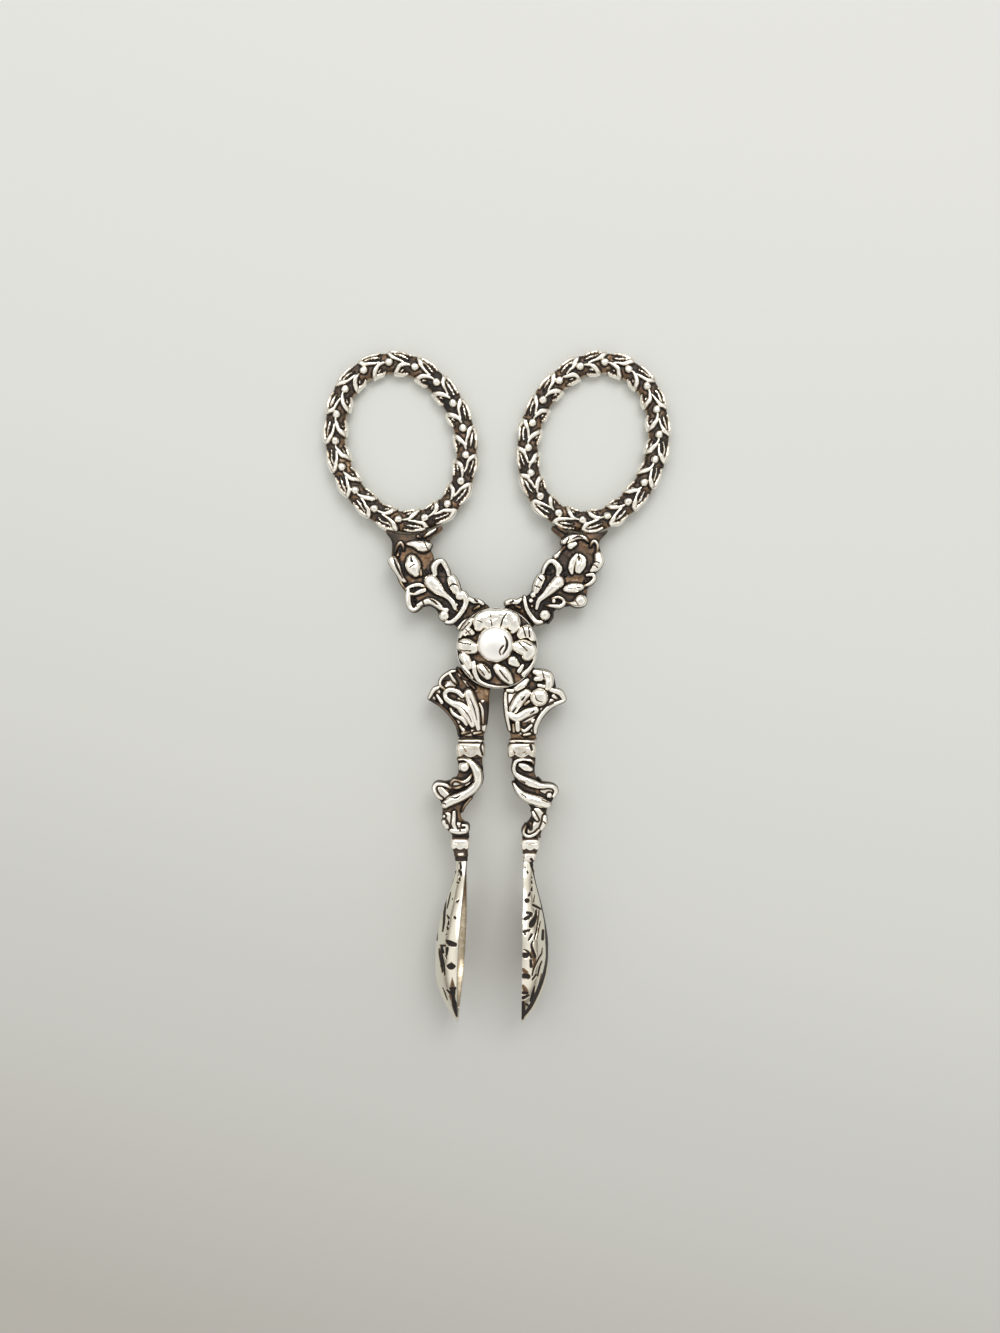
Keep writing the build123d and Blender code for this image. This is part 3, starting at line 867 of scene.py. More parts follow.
right_shoulder = {
    "breadth": 1.2,
    "bodies": [
        [(538, 673, 5), (547, 681, 7), (545, 690, 5)],
        [(522, 685, 6), (517, 694, 6), (511, 703, 7), (510, 713, 6)],
        [(514, 716, 6), (524, 715, 7), (533, 712, 5)],
        [(516, 727, 4), (522, 732, 3)],
        [(555, 694, 4), (560, 699, 3.5), (550, 704, 4), (541.5, 713, 4)],
        [(534, 722, 3), (534, 731, 3)],
    ],
    "ridges": [
        [(534.5, 671.5, 2.2), (541, 673.6, 3.6), (547.5, 675.5, 3.6), (551.3, 678.5, 2.4)],
        [(548.7, 677, 3.4), (549.2, 682, 3.6), (548.4, 687.3, 3)],
        [(535.5, 679, 2), (541, 678.6, 2.2)],
        [(538.8, 685.3, 1.7), (544.5, 686.6, 1.6)],
        [(551.3, 690, 2), (560, 692.7, 2.5), (564.3, 699, 2)],
        [(553.5, 696, 1.8), (557, 698.6, 1.3)],
        [(564, 700.7, 1.6), (550, 706.7, 2), (541.2, 716, 2), (536, 726.7, 1.9), (535.6, 732.7, 1.6)],
        [(539.3, 697.3, 7)],
        [(527.3, 680, 2), (522, 683.5, 3.8), (516.5, 688, 3)],
        [(526.7, 693, 3.4), (519.8, 699.5, 4.4), (513.5, 709, 3.8)],
        [(528.9, 701.4, 1.4), (525, 704.6, 1.3)],
        [(507.3, 690.3, 1.8), (512, 690.7, 1.9)],
        [(505.3, 693.3, 1.6), (505.3, 703.3, 1.8), (506.7, 716.7, 1.8), (509.5, 730, 1.5)],
        [(508.5, 714, 2.2), (517, 718, 3.4), (527, 713, 3.6), (535.3, 710, 3)],
        [(517.5, 723.5, 2.2), (517.8, 730, 2.1)],
        [(520.6, 728.7, 1.2), (524.7, 731, 1.6), (531.3, 725.6, 1.5)],
        [(513.2, 725, 1.3), (513.8, 731.5, 1.4)],
        [(530, 734, 1.4), (524, 735, 1.4)],
    ],
    "grooves": [
        [(538, 682.3, 0.6), (541.5, 682.3, 0.9), (545, 681.3, 0.5)],
        [(542.5, 672, 0.4), (544, 678, 0.5)],
        [(524.6, 696.6, 0.5), (522, 699.6, 0.9)],
        [(516, 707.5, 0.5), (513, 711.5, 0.9)],
        [(530.5, 713.5, 0.5), (533.3, 711.4, 0.9)],
        [(534.5, 694, 0.35), (537, 700, 0.5), (542.5, 702, 0.35)],
        [(553.5, 703, 0.5), (548, 705.8, 0.5)],
    ],
}

# Scrolls, between the collars and the ferrules

left_scroll_outline = [
    (458.5, 748), (458, 773), (451, 780.5), (437, 783.5), (434, 788), (439.5, 801), (442, 808), (442, 820),
    (445, 828), (451.5, 836), (452.5, 843), (467.5, 843), (468.5, 833), (467.5, 826), (461, 819),
    (462, 811), (470.5, 800), (479, 788.5), (483, 774), (482, 761), (481.5, 748),
]
left_scroll = {
    "bodies": [
        [(447, 817, 4), (450, 827, 6), (462, 829, 5)],
        [(455, 784, 4), (466, 783, 4)],
        [(440, 790, 3.5), (445, 796, 4)],
    ],
    "ridges": [
        [(463.7, 767, 5)],
        [(458.3, 759.8, 1.6), (464.5, 758.9, 2), (471.3, 763, 3), (476.6, 771, 4.4), (478.3, 779.6, 4.4),
         (475, 787, 4), (468.3, 792.7, 4), (460.5, 797, 4.6), (452, 800.5, 4.6), (445, 805, 3.6)],
        [(470.8, 798.8, 1.5), (464.5, 806.2, 1.5), (461.8, 812, 1.3)],
        [(450.3, 788.3, 1.5), (445, 785, 2), (437.4, 784, 2.1), (434, 787.3, 2.2), (434.8, 792, 2.2),
         (438, 797, 2.1), (441.5, 799, 1.7)],
        [(451.2, 787, 1.2), (450.8, 783.3, 1.5), (453.8, 780.2, 1.6), (458.5, 780.8, 1.5), (463, 782.2, 1.7),
         (468, 779.6, 1.9), (471.3, 775, 1.5)],
        [(452.4, 788, 1.3), (457.5, 788, 1.6), (463, 786, 1.3)],
        [(454, 812.5, 1.9), (453.8, 818, 2.2), (453.6, 824.5, 2.3), (455.5, 829, 1.9)],
        [(443.8, 816.6, 1.9)],
        [(444, 822.5, 2.8), (446.6, 827.3, 2.6)],
        [(451.3, 831, 2.4), (458, 832, 2.8), (465, 831.2, 2.8)],
        [(462.6, 825.6, 1.7), (466.6, 826.4, 2.1), (467.6, 830.6, 1.7)],
    ],
    "grooves": [
        [(458.5, 762.3, 0.5), (462, 761.6, 0.8), (465.8, 762.6, 0.5)],
        [(474.3, 781.3, 0.5), (470, 785, 0.9), (462.5, 789.6, 1), (454.5, 792, 1), (449, 792.3, 0.6)],
        [(451.5, 797.3, 0.4), (456, 797.6, 0.7), (460, 795.3, 0.4)],
        [(441.8, 803, 0.5), (445.4, 804, 0.6)],
        [(445.6, 821.4, 0.5), (447, 823.6, 0.7)],
        [(464, 827.6, 1)],
        [(460, 830.9, 0.8)],
    ],
}
right_scroll_outline = [
    (534.5, 748), (535, 773), (541, 781.5), (552, 783.8), (557.5, 789), (553, 801), (547, 811), (547, 824),
    (541.5, 833.5), (539.5, 843), (523.5, 843), (523, 835), (523.5, 828), (530, 820.5), (532, 812),
    (527, 803), (518, 790), (513, 774), (512, 757), (512, 748),
]
right_scroll = {
    "bodies": [
        [(537, 813, 4.5), (541, 822, 5.5), (532, 832, 4.5)],
        [(543, 790, 3), (550, 792, 4)],
    ],
    "ridges": [
        [(534, 763.6, 1.5), (530.8, 760.6, 1.7), (523.5, 759.2, 1.9), (516.5, 761.3, 2), (513.7, 767.2, 2.2),
         (514.8, 773.2, 2.3), (519.6, 777.4, 3), (526.7, 781.3, 3.8), (534, 784.2, 3.7), (541, 786.2, 2.9),
         (548.7, 786, 2.4), (554.2, 787.6, 2.3), (556.3, 791.6, 2.3), (554, 796.8, 2)],
        [(520.5, 765.3, 2.4), (525.5, 767.4, 3.5), (530.6, 769.6, 2.4)],
        [(538.6, 778.8, 0.9), (541.3, 782, 1)],
        [(549.3, 795.4, 2.8)],
        [(513.6, 783.6, 1.6), (517.4, 790, 2.8), (523, 795.6, 4), (530.8, 799.2, 4.8), (539.3, 802, 5),
         (547.3, 805, 3.8)],
        [(532.7, 812.2, 1.7), (534.5, 816, 2.1), (537.3, 820, 1.7)],
        [(544.9, 817, 2.2), (544.6, 823, 2.8), (541.6, 829, 2.2)],
        [(526, 825.9, 1.4), (523.6, 831, 1.7), (524.4, 835, 1.8), (529, 836.8, 1.9), (535, 834.6, 1.8),
         (539, 830.6, 1.7)],
        [(530.5, 823.3, 1.5), (530.7, 829, 1.1)],
    ],
    "grooves": [
        [(519, 762.3, 0.6), (524, 762, 0.8), (531, 764.9, 0.6)],
        [(520, 780.6, 0.5), (524.5, 782.4, 0.8)],
        [(521, 793.5, 0.35), (526, 797, 0.5)],
        [(541.5, 799.8, 0.35), (548, 802, 0.5)],
        [(543, 821.4, 0.5), (545.5, 823.5, 0.6)],
    ],
}


def ring_inside(points):
    """The distance of points from a ring's outer edge, positive under the ring."""
    away = [outline_distance(points, ring_line(side, ring_band)[0]) for side in (-1, 1)]
    return -np.minimum(*away) + hub_gap


def ring_line(side, grow, count=ring_points):
    """The four tangent arcs of a ring's opening, grown outwards, as points and outward directions."""
    long_half, short_half = ring_opening_length / 2, ring_opening_width / 2
    end_centre = long_half - ring_end_radius
    slack = short_half - ring_end_radius
    side_centre = (end_centre**2 - slack**2) / (2 * slack)
    side_radius = short_half + side_centre + grow
    end_radius = ring_end_radius + grow
    half = math.atan2(end_centre, side_centre)
    arcs = [
        ((-side_centre, 0), side_radius, -half, half),
        ((0, end_centre), end_radius, half, math.pi - half),
        ((side_centre, 0), side_radius, math.pi - half, math.pi + half),
        ((0, -end_centre), end_radius, math.pi + half, 2 * math.pi - half),
    ]
    lengths = [radius * (end - start) for _, radius, start, end in arcs]
    total = sum(lengths)
    points, outward = [], []
    for step in np.arange(count) * total / count:
        for (centre, radius, start, _), length in zip(arcs, lengths):
            if step < length:
                break
            step -= length
        angle = start + step / radius
        outward.append((math.cos(angle), math.sin(angle)))
        points.append((centre[0] + radius * outward[-1][0], centre[1] + radius * outward[-1][1]))
    turn = math.radians(-ring_lean)
    turned = np.array([[math.cos(turn), math.sin(turn)], [-math.sin(turn), math.cos(turn)]])
    points = np.array(points) @ turned + (ring_spread, ring_reach)
    outward = np.array(outward) @ turned
    mirror = np.array([side, 1])
    return points * mirror, outward * mirror, total


# The laurel leaves of one berry, along the stem from it and outwards from the stem: the leaf at the
# ring's outer edge with its rims, vein and closed tip, then the leaf at the opening's edge
leaf_ridges = [
    [(1.7, 0.15, 0.26), (2.5, 0.3, 0.36), (3.2, 0.52, 0.42), (3.8, 0.92, 0.46), (4.3, 1.42, 0.46),
     (4.4, 1.75, 0.4)],
    [(1.2, 1.75, 0.2), (2.2, 1.95, 0.3), (3.2, 2.0, 0.36), (4.0, 1.9, 0.42), (4.4, 1.7, 0.4)],
    [(1.3, 0.95, 0.16), (2.1, 1.15, 0.22), (2.9, 1.3, 0.24), (3.5, 1.4, 0.2)],
    [(1.0, 0.0, 0.3), (1.7, -0.28, 0.44), (2.4, -0.7, 0.5), (3.0, -1.2, 0.5), (3.5, -1.75, 0.42)],
    [(0.8, -1.6, 0.2), (1.6, -1.85, 0.28), (2.5, -1.95, 0.34), (3.3, -1.8, 0.36)],
    [(1.5, -1.05, 0.14), (2.1, -1.3, 0.22)],
]


def wreath_height(points, length, berries, seed):
    """The wreath's relief and dark feet, tarnish and painted shade, at places along the stem and outwards
    from it.
    """
    random = np.random.default_rng(seed)
    pitch = length / berries
    placed = []
    for unit in range(-1, berries + 1):
        strokes = [np.array([(0.0, 0.0, berry_radius)])]
        for ridge in leaf_ridges:
            wobble = leaf_jitter * random.standard_normal((len(ridge), 3)) * leaf_jitter_shares
            strokes.append((np.array(ridge) + wobble) * (pitch / leaf_pitch, 1, leaf_thin))
        placed += [stroke + (unit * pitch, stem_offset, 0) for stroke in strokes]
    raised, foot = carve(points, placed, wreath_rise, wreath_width, wreath_bare)
    return np.maximum(raised, flecks(points, seed)), foot


def finger_ring(name, side, berries, first_berry):
    """An oval band with a wreath of laurel and berries on its rounded front."""
    along_step, across_step = (cell * cells for cells in ring_cells)
    half = ring_band / 2 - ring_inset
    count = int(ring_line(side, ring_band / 2)[2] / along_step)
    centre, outward, length = ring_line(side, ring_band / 2, count)
    flat = half - ring_round
    arc = np.linspace(0, math.pi / 2, int(ring_round * math.pi / 2 / across_step))
    level = np.linspace(0, flat, int(flat / across_step) + 1, endpoint=False) + flat / ring_first_row
    quarter = np.column_stack([flat + ring_round * np.sin(arc), ring_ground - ring_round * (1 - np.cos(arc))])
    quarter = np.vstack([np.column_stack([level, np.full(len(level), ring_ground)]), quarter])
    facing = np.column_stack([np.sin(arc), np.cos(arc)])
    facing = np.vstack([np.tile((0.0, 1.0), (len(level), 1)), facing])
    wall = np.linspace(ring_ground - ring_round, -arm_back, ring_wall_rows)[1:]
    section = np.vstack([quarter, np.column_stack([np.full(len(wall), half), wall])])
    facing = np.vstack([facing, np.tile((1.0, 0.0), (len(wall), 1))])
    fade = np.concatenate([np.ones(len(quarter)), np.linspace(ring_wall_fade, 0, len(wall))])
    backs = np.array([(half * share, -arm_back) for share in ring_back_rows])
    section = np.vstack([section, backs])
    facing = np.vstack([facing, np.zeros(backs.shape)])
    fade = np.concatenate([fade, np.zeros(len(backs))])
    section = np.vstack([section * (-1, 1), section[::-1]])
    facing = np.vstack([facing * (-1, 1), facing[::-1]])
    fade = np.concatenate([fade, fade[::-1]])
    order = np.roll(np.arange(len(section)), len(section) // 2)
    section, facing, fade = section[order], facing[order], fade[order]

    berry = from_photo([(*first_berry, 0)])[0, :2]
    nearest = np.hypot(*(centre - berry).T).argmin()
    travel = (nearest - np.arange(count)) * length / count % length
    across = section[:, 0] / half * ring_band / 2
    over, out = np.meshgrid(travel, across, indexing="ij")
    laid = np.column_stack([over.ravel(), out.ravel()])
    height, foot = wreath_height(laid, length, berries, berries)
    waves = uneven(laid, height, berries).reshape(over.shape)
    patches = cloud(laid, patch_size, berries).reshape(over.shape)
    height = height.reshape(over.shape)
    lift = (height + waves) * fade
    reach = section[:, 0] + lift * facing[:, 0]
    up = section[:, 1] + lift * facing[:, 1]
    vertices = np.stack([
        centre[:, None, 0] + reach * outward[:, None, 0],
        centre[:, None, 1] + reach * outward[:, None, 1],
        up,
    ], axis=-1)
    ends = ((ring_wrap, ring_wrap), (0, 0))
    wrapped, patches = (np.pad(field, ends, mode="wrap") for field in (height, patches))
    # Tarnish, with painted shade in the hollows and at the feet of the leaves
    shade = patina_of(wrapped, wrapped, patches, cell * ring_dark_cells)[ring_wrap:-ring_wrap]
    shade = np.clip(shade + foot.reshape(shade.shape), 0, 1)
    bare = 1 - ring_edge_bare * smooth_step(np.abs(facing[:, 0]), ring_edge_facing, 1)
    shade = shade * np.where(fade > ring_wall_fade, bare, ring_wall_patina * fade)
    number = np.arange(count * len(section)).reshape(count, len(section))
    nxt, over = np.roll(number, -1, axis=0), np.roll(number, -1, axis=1)
    faces = np.stack([number, nxt, np.roll(nxt, -1, axis=1), over], axis=-1).reshape(-1, 4)
    if side < 0:
        faces = faces[:, ::-1]
    return make_piece(name, vertices.reshape(-1, 3), faces.tolist(), shade.ravel(), cast_silver)


# The flower boss

rosette_reach = 40
rosette_turn = 15
rosette_outline = [
    (photo_pivot[0] + rosette_reach * math.sin(math.radians(angle)),
     photo_pivot[1] + rosette_reach * math.cos(math.radians(angle)))
    for angle in range(0, 360, rosette_turn)
]
rosette_carving = {
    "ground": rosette_ground,
    # The boss's side wall is painted dark all round: painted shade at the boss's edge
    "wall": 0.8,
    "breadth": 0.92,
    "ridges": [
        [(478.8, 627, 5), (480.8, 620.5, 7.6), (487, 615, 7.2), (494, 615.5, 6.6)],
        [(497.5, 615.5, 6.6), (505, 614.8, 6.8), (511.5, 618.5, 7.6), (513.7, 625, 6.6), (512.3, 630.6, 3.8)],
        [(486, 624, 5.8), (491.5, 625.5, 5.8), (498, 621, 6.2), (505.5, 623.5, 6.2)],
        [(520.5, 635, 4.3), (525.5, 631.5, 6.6), (530.6, 632.4, 6.6), (533, 638, 3.8)],
        [(516.5, 646.5, 5.6), (523.5, 647.5, 8), (530.2, 650.8, 7), (527, 656, 5.6)],
        [(534.5, 654.5, 2.2), (534.7, 661.5, 2.8), (530.6, 668.5, 3.2), (523.5, 674.5, 2.8)],
        [(512.4, 660.8, 5.2), (516.8, 664.2, 3.3)],
        [(519, 671, 2.6), (522.5, 665.5, 2)],
        [(497, 667, 4.3), (502, 672, 6.2), (507, 677.5, 5.6), (511, 682.3, 2.7)],
        [(480.8, 666.8, 4.4), (484.5, 671, 5.7), (488, 676, 4.2)],
        [(474, 662.5, 2.4), (474.8, 672, 2.6), (479, 680.6, 2.4), (487.3, 685.4, 2.2), (498, 687.3, 2),
         (508, 687, 1.8)],
        [(463, 656.5, 4.3), (466.5, 660, 5), (469.3, 666, 4)],
        [(462.3, 667, 3), (466.4, 672.5, 3.6), (471, 678, 2.8)],
        [(460.8, 645.5, 5.2), (466.5, 646, 7.6), (473.3, 648, 6.2)],
        [(459.6, 636, 2.8), (462, 629, 4.4), (467, 624, 4.8), (471, 619.6, 2.9)],
        [(464.8, 633.8, 2.8), (468, 631.4, 4.2), (472.5, 633.2, 2.8)],
    ],
    "grooves": [
        [(490.2, 614.4, 0.3), (491, 617.4, 0.45)],
        [(490.8, 620.4, 0.4), (492, 625.4, 0.5)],
        [(506.6, 613.8, 0.4), (503.2, 618.4, 0.6), (500.8, 626, 0.6)],
        [(495, 628, 0.9), (503, 630, 0.9), (510.5, 631, 0.6)],
        [(478, 621, 0.5), (482, 622.4, 0.4)],
        [(522.6, 627, 0.5), (525.5, 636, 0.6)],
        [(528.6, 627.6, 0.5), (529.4, 637, 0.6)],
        [(519, 643, 0.5), (527, 650.6, 0.5)],
        [(523, 641.6, 0.4), (531, 646, 0.5)],
        [(499.6, 670, 0.5), (504, 676, 0.6), (508.6, 681, 0.5)],
        [(479.6, 669, 0.5), (484.6, 675, 0.6)],
        [(484, 665.6, 0.5), (489.4, 672.6, 0.6)],
        [(459, 642.6, 0.4), (471, 644.4, 0.5)],
        [(460, 650.4, 0.4), (471, 651, 0.5)],
        [(462, 631, 0.5), (469.4, 622.6, 0.5)],
        [(466, 629.6, 0.4), (470.6, 634.4, 0.5)],
        [(465.6, 633.4, 0.4), (471, 630, 0.4)],
        [(464.4, 670.4, 0.4), (470.6, 677, 0.5)],
    ],
}
# Shallow dents in the dome, painted black as a dark reflection
dome_dents_with_dark_reflection = [
    [(506.2, 640.2, 0.5), (508.4, 644.4, 0.9), (508.8, 648.4, 1.2), (507.8, 652.8, 1.1), (504.6, 658, 0.6)],
    [(505, 650, 0.9), (502.6, 652.8, 0.9), (501.2, 656, 0.7), (502.4, 658.6, 0.6)],
]


def lathe(name, profile, segments, mark=None):
    """A turned piece: a profile of (radius, height, patina) from the middle outwards."""
    profile = np.array(profile, float)
    angles = np.linspace(0, 2 * math.pi, segments, endpoint=False)
    rings = [
        np.column_stack([r * np.cos(angles), r * np.sin(angles), np.full(segments, z)])
        for r, z, _ in profile[1:]
    ]
    points = np.vstack([[(0, 0, profile[0][1])], *rings])
    if mark is not None:
        points[:, 2] -= mark(points[:, :2])
        points[:, :2] += dome_shift
    count = len(profile) - 1
    number = 1 + np.arange(count * segments).reshape(count, segments)
    turn = np.roll(number, -1, axis=1)
    faces = [(0, a, b) for a, b in zip(number[0], turn[0])]
    quads = np.stack([number[:-1], number[1:], turn[1:], turn[:-1]], axis=-1).reshape(-1, 4)
    faces += quads.tolist()
    shade = np.concatenate([[profile[0][2]], np.repeat(profile[1:, 2], segments)])
    # The dents are painted black: a painted dark reflection on the dome
    if mark is not None:
        shade = np.clip(shade + groove_dark * mark(points[:, :2] - dome_shift) / dome_dent, 0, 1)
    if profile[-1][1] > profile[0][1]:
        faces = [face[::-1] for face in faces]
    return make_piece(name, points, faces, shade, rivet_silver)


def band_piece(name, stations, start, side, scallop, dents, painted_highlights):
    """A ringed band round an arm.

    Each station is (distance along, centre, half width, half thickness, patina, scalloped), and a
    scalloped one dips in arches by the scallop. The dents, and the painted highlights, where the dark
    is taken off to bare silver, are strokes of the photograph.
    """
    stations = np.array(stations, float)
    fine = np.unique(np.concatenate([stations[:, 0], np.arange(0, stations[-1, 0], band_cells * cell)]))
    columns = [np.interp(fine, stations[:, 0], column) for column in stations.T[1:]]
    angles = np.linspace(0, 2 * math.pi, band_segments, endpoint=False)
    ring_x = np.sign(np.cos(angles)) * np.abs(np.cos(angles)) ** band_square
    ring_z = np.sign(np.sin(angles)) * np.abs(np.sin(angles)) ** band_square
    loops, shade = [], []
    for along, centre, half_x, half_z, patina_and_shade, scalloped in zip(fine, *columns):
        dip = scalloped * scallop * np.abs(np.cos(math.pi * ring_x))
        unrolled = np.column_stack([angles, np.full(band_segments, along)])
        waves = cloud(unrolled, band_uneven_size, int(band_seed * start)) - cloud_middle
        grow = 1 + band_uneven * waves
        loops.append(np.column_stack([
            centre + grow * half_x * ring_x, -start - along - dip, band_middle + grow * half_z * ring_z,
        ]))
        shade.append(np.full(band_segments, patina_and_shade))
    shade = np.concatenate(shade)
    points = to_side(np.vstack(loops), side)
    for stroke in dents:
        dent = ridge_height(points[:, :2], from_photo(stroke), dent_depth, groove_width)
        points[:, 2] -= np.where(points[:, 2] > 0, dent, 0)
        shade = np.clip(shade + groove_dark * dent / dent_depth, 0, 1)
    # Painted highlights: the dark taken off to bare silver
    for stroke in painted_highlights:
        shade = shade * (1 - ridge_height(points[:, :2], from_photo(stroke), 1, groove_width))
    return make_piece(name, points, tube_faces(len(loops), band_segments, side), shade, cast_silver)


def to_side(points, side):
    """Right-hand points as they are, or mirrored and turned out with the left lower arm."""
    if side > 0:
        return points
    x, y, z = -points[:, 0], points[:, 1], points[:, 2]
    turn = math.radians(-left_arm_turn)
    turned_x = x * math.cos(turn) - y * math.sin(turn)
    turned_y = x * math.sin(turn) + y * math.cos(turn)
    return np.column_stack([turned_x, turned_y, z])


bowl_station_shares = [0.0, 0.07, 0.17, 0.3, 0.45, 0.6, 0.74, 0.87, 0.95, 1.0]
bowl_width_shares = [0.17, 0.26, 0.52, 0.8, 0.98, 1.0, 0.86, 0.53, 0.25, 0.04]
bowl_depth_shares = [0.38, 0.42, 0.57, 0.79, 0.97, 1.0, 0.92, 0.6, 0.3, 0.05]


def eased(share, table):
    """A smooth curve through the bowl's shares."""
    rows = smooth_curve(np.column_stack([bowl_station_shares, table]), steps=eased_steps)
    return np.interp(share, rows[:, 0], rows[:, 1])


right_bowl_carving = [
    [(531, 861, 1.4), (532.5, 863, 1.8), (531.8, 866, 1)],
    [(531.9, 866.6, 0.8), (533.6, 872.2, 0.7), (536.4, 881.8, 0.9), (540.9, 899, 0.9), (543.1, 909, 0.9),
     (545.4, 919.3, 1), (546.6, 929, 1.1), (547, 942, 1), (547.3, 952, 0.9), (546.6, 961, 0.9),
     (544, 974.7, 1.1), (540.4, 985, 1.3), (536, 996, 1.2), (529.5, 1008, 1.3), (523, 1016, 1.2)],
    [(525.2, 867.8, 0.5)],
    [(527, 871.6, 0.7), (527.8, 872.6, 0.6)],
    [(532, 877.4, 0.6)],
    [(531.9, 881.2, 0.7), (532, 883, 0.6)],
    [(532.3, 887, 0.5), (531.5, 890, 0.8)],
    [(530.4, 892.6, 0.6), (529.1, 895.2, 0.8)],
    [(525.7, 900, 1), (527.2, 900.4, 1.5), (528.8, 899.4, 0.8)],
    [(534.7, 895, 0.3), (533.6, 902, 0.4)],
    [(533, 904.7, 0.8), (538, 907.3, 0.8), (542.5, 909.6, 0.4)],
    [(526.9, 912.4, 0.7), (531.5, 913.6, 1.1), (529.7, 916, 0.9)],
    [(525, 918.8, 1.1), (528.6, 917, 1.2)],
    [(536.4, 910, 0.6), (535.8, 916.5, 1.2), (532.5, 923, 2), (530.9, 925.6, 1.4)],
    [(539.2, 910, 0.4), (538.1, 920.4, 0.5), (536.4, 931.6, 0.6), (534.6, 939, 0.5)],
    [(540.6, 921, 0.3), (538.8, 929, 0.5), (537.4, 938, 0.4)],
    [(543.1, 930.5, 0.9), (542.8, 939, 1)],
    [(524, 931.6, 0.9), (529.7, 930, 0.8)],
    [(525.2, 934, 0.7)],
    [(529, 939.6, 0.7), (531.9, 934.6, 0.9)],
    [(532.8, 941.6, 0.6), (531.6, 945.6, 0.8), (534, 952.3, 0.9), (535.7, 957, 0.8)],
    [(523.9, 949.5, 0.5), (528.3, 951.8, 0.7), (531.5, 957.5, 0.6)],
    [(523, 954.4, 1.2), (525.6, 955.6, 1.9), (528.3, 954.2, 1.1)],
    [(530.8, 960.5, 0.9), (531.3, 966.5, 1)],
    [(542.3, 948.4, 0.4), (541.8, 953, 0.5), (539, 958, 0.6), (533.9, 969, 0.6), (532.3, 975.3, 0.5)],
    [(541.8, 961.3, 0.5), (539.5, 968, 0.7), (537.9, 976, 0.5)],
    [(536.2, 974.7, 0.7), (532.8, 979.4, 0.7)],
    [(522.6, 976, 1.6), (528.3, 976.6, 1.6)],
    [(522.6, 993, 0.9), (527.2, 993.4, 1)],
    [(534.6, 986.6, 0.6), (532.8, 993.8, 1), (530.6, 1000.8, 0.8)],
    [(523.2, 998, 1.2), (526.5, 996.6, 0.9), (529, 995.5, 0.6)],
    [(523, 1002, 0.7), (522.6, 1010, 1.5), (522.4, 1018, 1.2)],
    [(526.3, 1004, 0.7), (529, 1006.5, 0.7)],
]
right_bowl_stains = [
    [(532, 949, 0.8), (532.6, 954, 2), (534.6, 962, 1.6), (533, 970, 0.8)],
    [(523.2, 969.5, 1.6), (526, 973, 2.4)],
    [(523.2, 986, 1.6), (525.6, 990.6, 2.6)],
    [(523.6, 1003, 2.4), (523, 1012, 2)],
    [(541.5, 974, 0.8), (538.6, 986, 1), (532, 1001, 1.1)],
]
left_bowl_carving = [
    [(460, 862.7, 0.7), (460.5, 868, 0.9)],
    [(458.6, 870.3, 0.7), (460.6, 872.4, 1), (461, 875.4, 0.6)],
    [(459.4, 877.6, 0.6), (459.8, 880.3, 0.5)],
    [(456.8, 881.8, 0.5), (458.4, 882.7, 0.6)],
    [(455.8, 871, 0.4), (454, 875, 0.5), (451.8, 882, 0.6), (449, 889.6, 0.6), (446.2, 897.6, 0.5),
     (445.4, 904, 0.6), (444.6, 910, 0.8), (444, 916.5, 0.9), (443.7, 923.2, 0.8), (442.6, 931, 0.6)],
    [(450.4, 892.4, 0.4), (449.3, 897.5, 0.5), (447.9, 904.2, 0.5), (447, 908, 0.4)],
    [(452.4, 898.9, 0.5)],
    [(455.8, 901, 0.4), (457.2, 901.6, 0.6), (458.6, 900, 0.4)],
    [(447, 915, 0.4), (448.7, 918, 0.8)],
    [(454.2, 917, 0.8), (455.2, 918, 0.7)],
    [(448.3, 921, 0.5), (448.1, 924, 0.8)],
    [(447.1, 926.8, 0.6), (447.7, 929, 0.8)],
    [(446.5, 934.2, 0.6)],
    [(438.4, 924.6, 0.4)],
    [(437.6, 928.8, 0.3), (437, 940, 0.5)],
    [(446, 940.6, 0.7), (449.5, 943, 1.8), (454.8, 944.6, 1.4)],
    [(440.4, 945.3, 0.6), (445, 945.6, 0.7)],
    [(441.5, 947.3, 0.9), (443, 952.3, 0.9)],
    [(446.8, 948.6, 1.2), (446.3, 955, 0.7)],
    [(438.9, 948.4, 0.4), (439.5, 954.6, 0.7), (441.2, 962.4, 0.8), (442.3, 972, 0.6)],
    [(440.6, 949, 0.5), (443.6, 963.5, 0.7), (444.5, 975, 0.6)],
    [(445.4, 956, 0.5), (446.4, 958.6, 0.4)],
    [(446.8, 966, 0.6), (450.8, 966.5, 2.1), (454.8, 966.3, 0.7)],
    [(449.8, 988.6, 0.7), (454.8, 988.6, 1)],
    [(447.1, 990.2, 0.7), (449.6, 993, 0.9)],
    [(452.6, 991.6, 1.9), (453.4, 998, 1), (454.4, 1004.4, 1.7), (455.6, 1010, 1.5), (457.2, 1015.6, 1.1)],
    [(442.7, 987.6, 0.3), (444.9, 993.2, 0.5), (447.1, 999.6, 0.4)],
]
left_bowl_stains = [
    [(451.2, 962.5, 0.8), (451.6, 965, 2)],
    [(452.2, 977.6, 0.4), (452.4, 983, 1.6), (452.6, 989, 2.6)],
    [(451.2, 995.6, 2), (453.4, 1001, 2)],
    [(441, 951, 1), (442, 966, 1.6)],
]


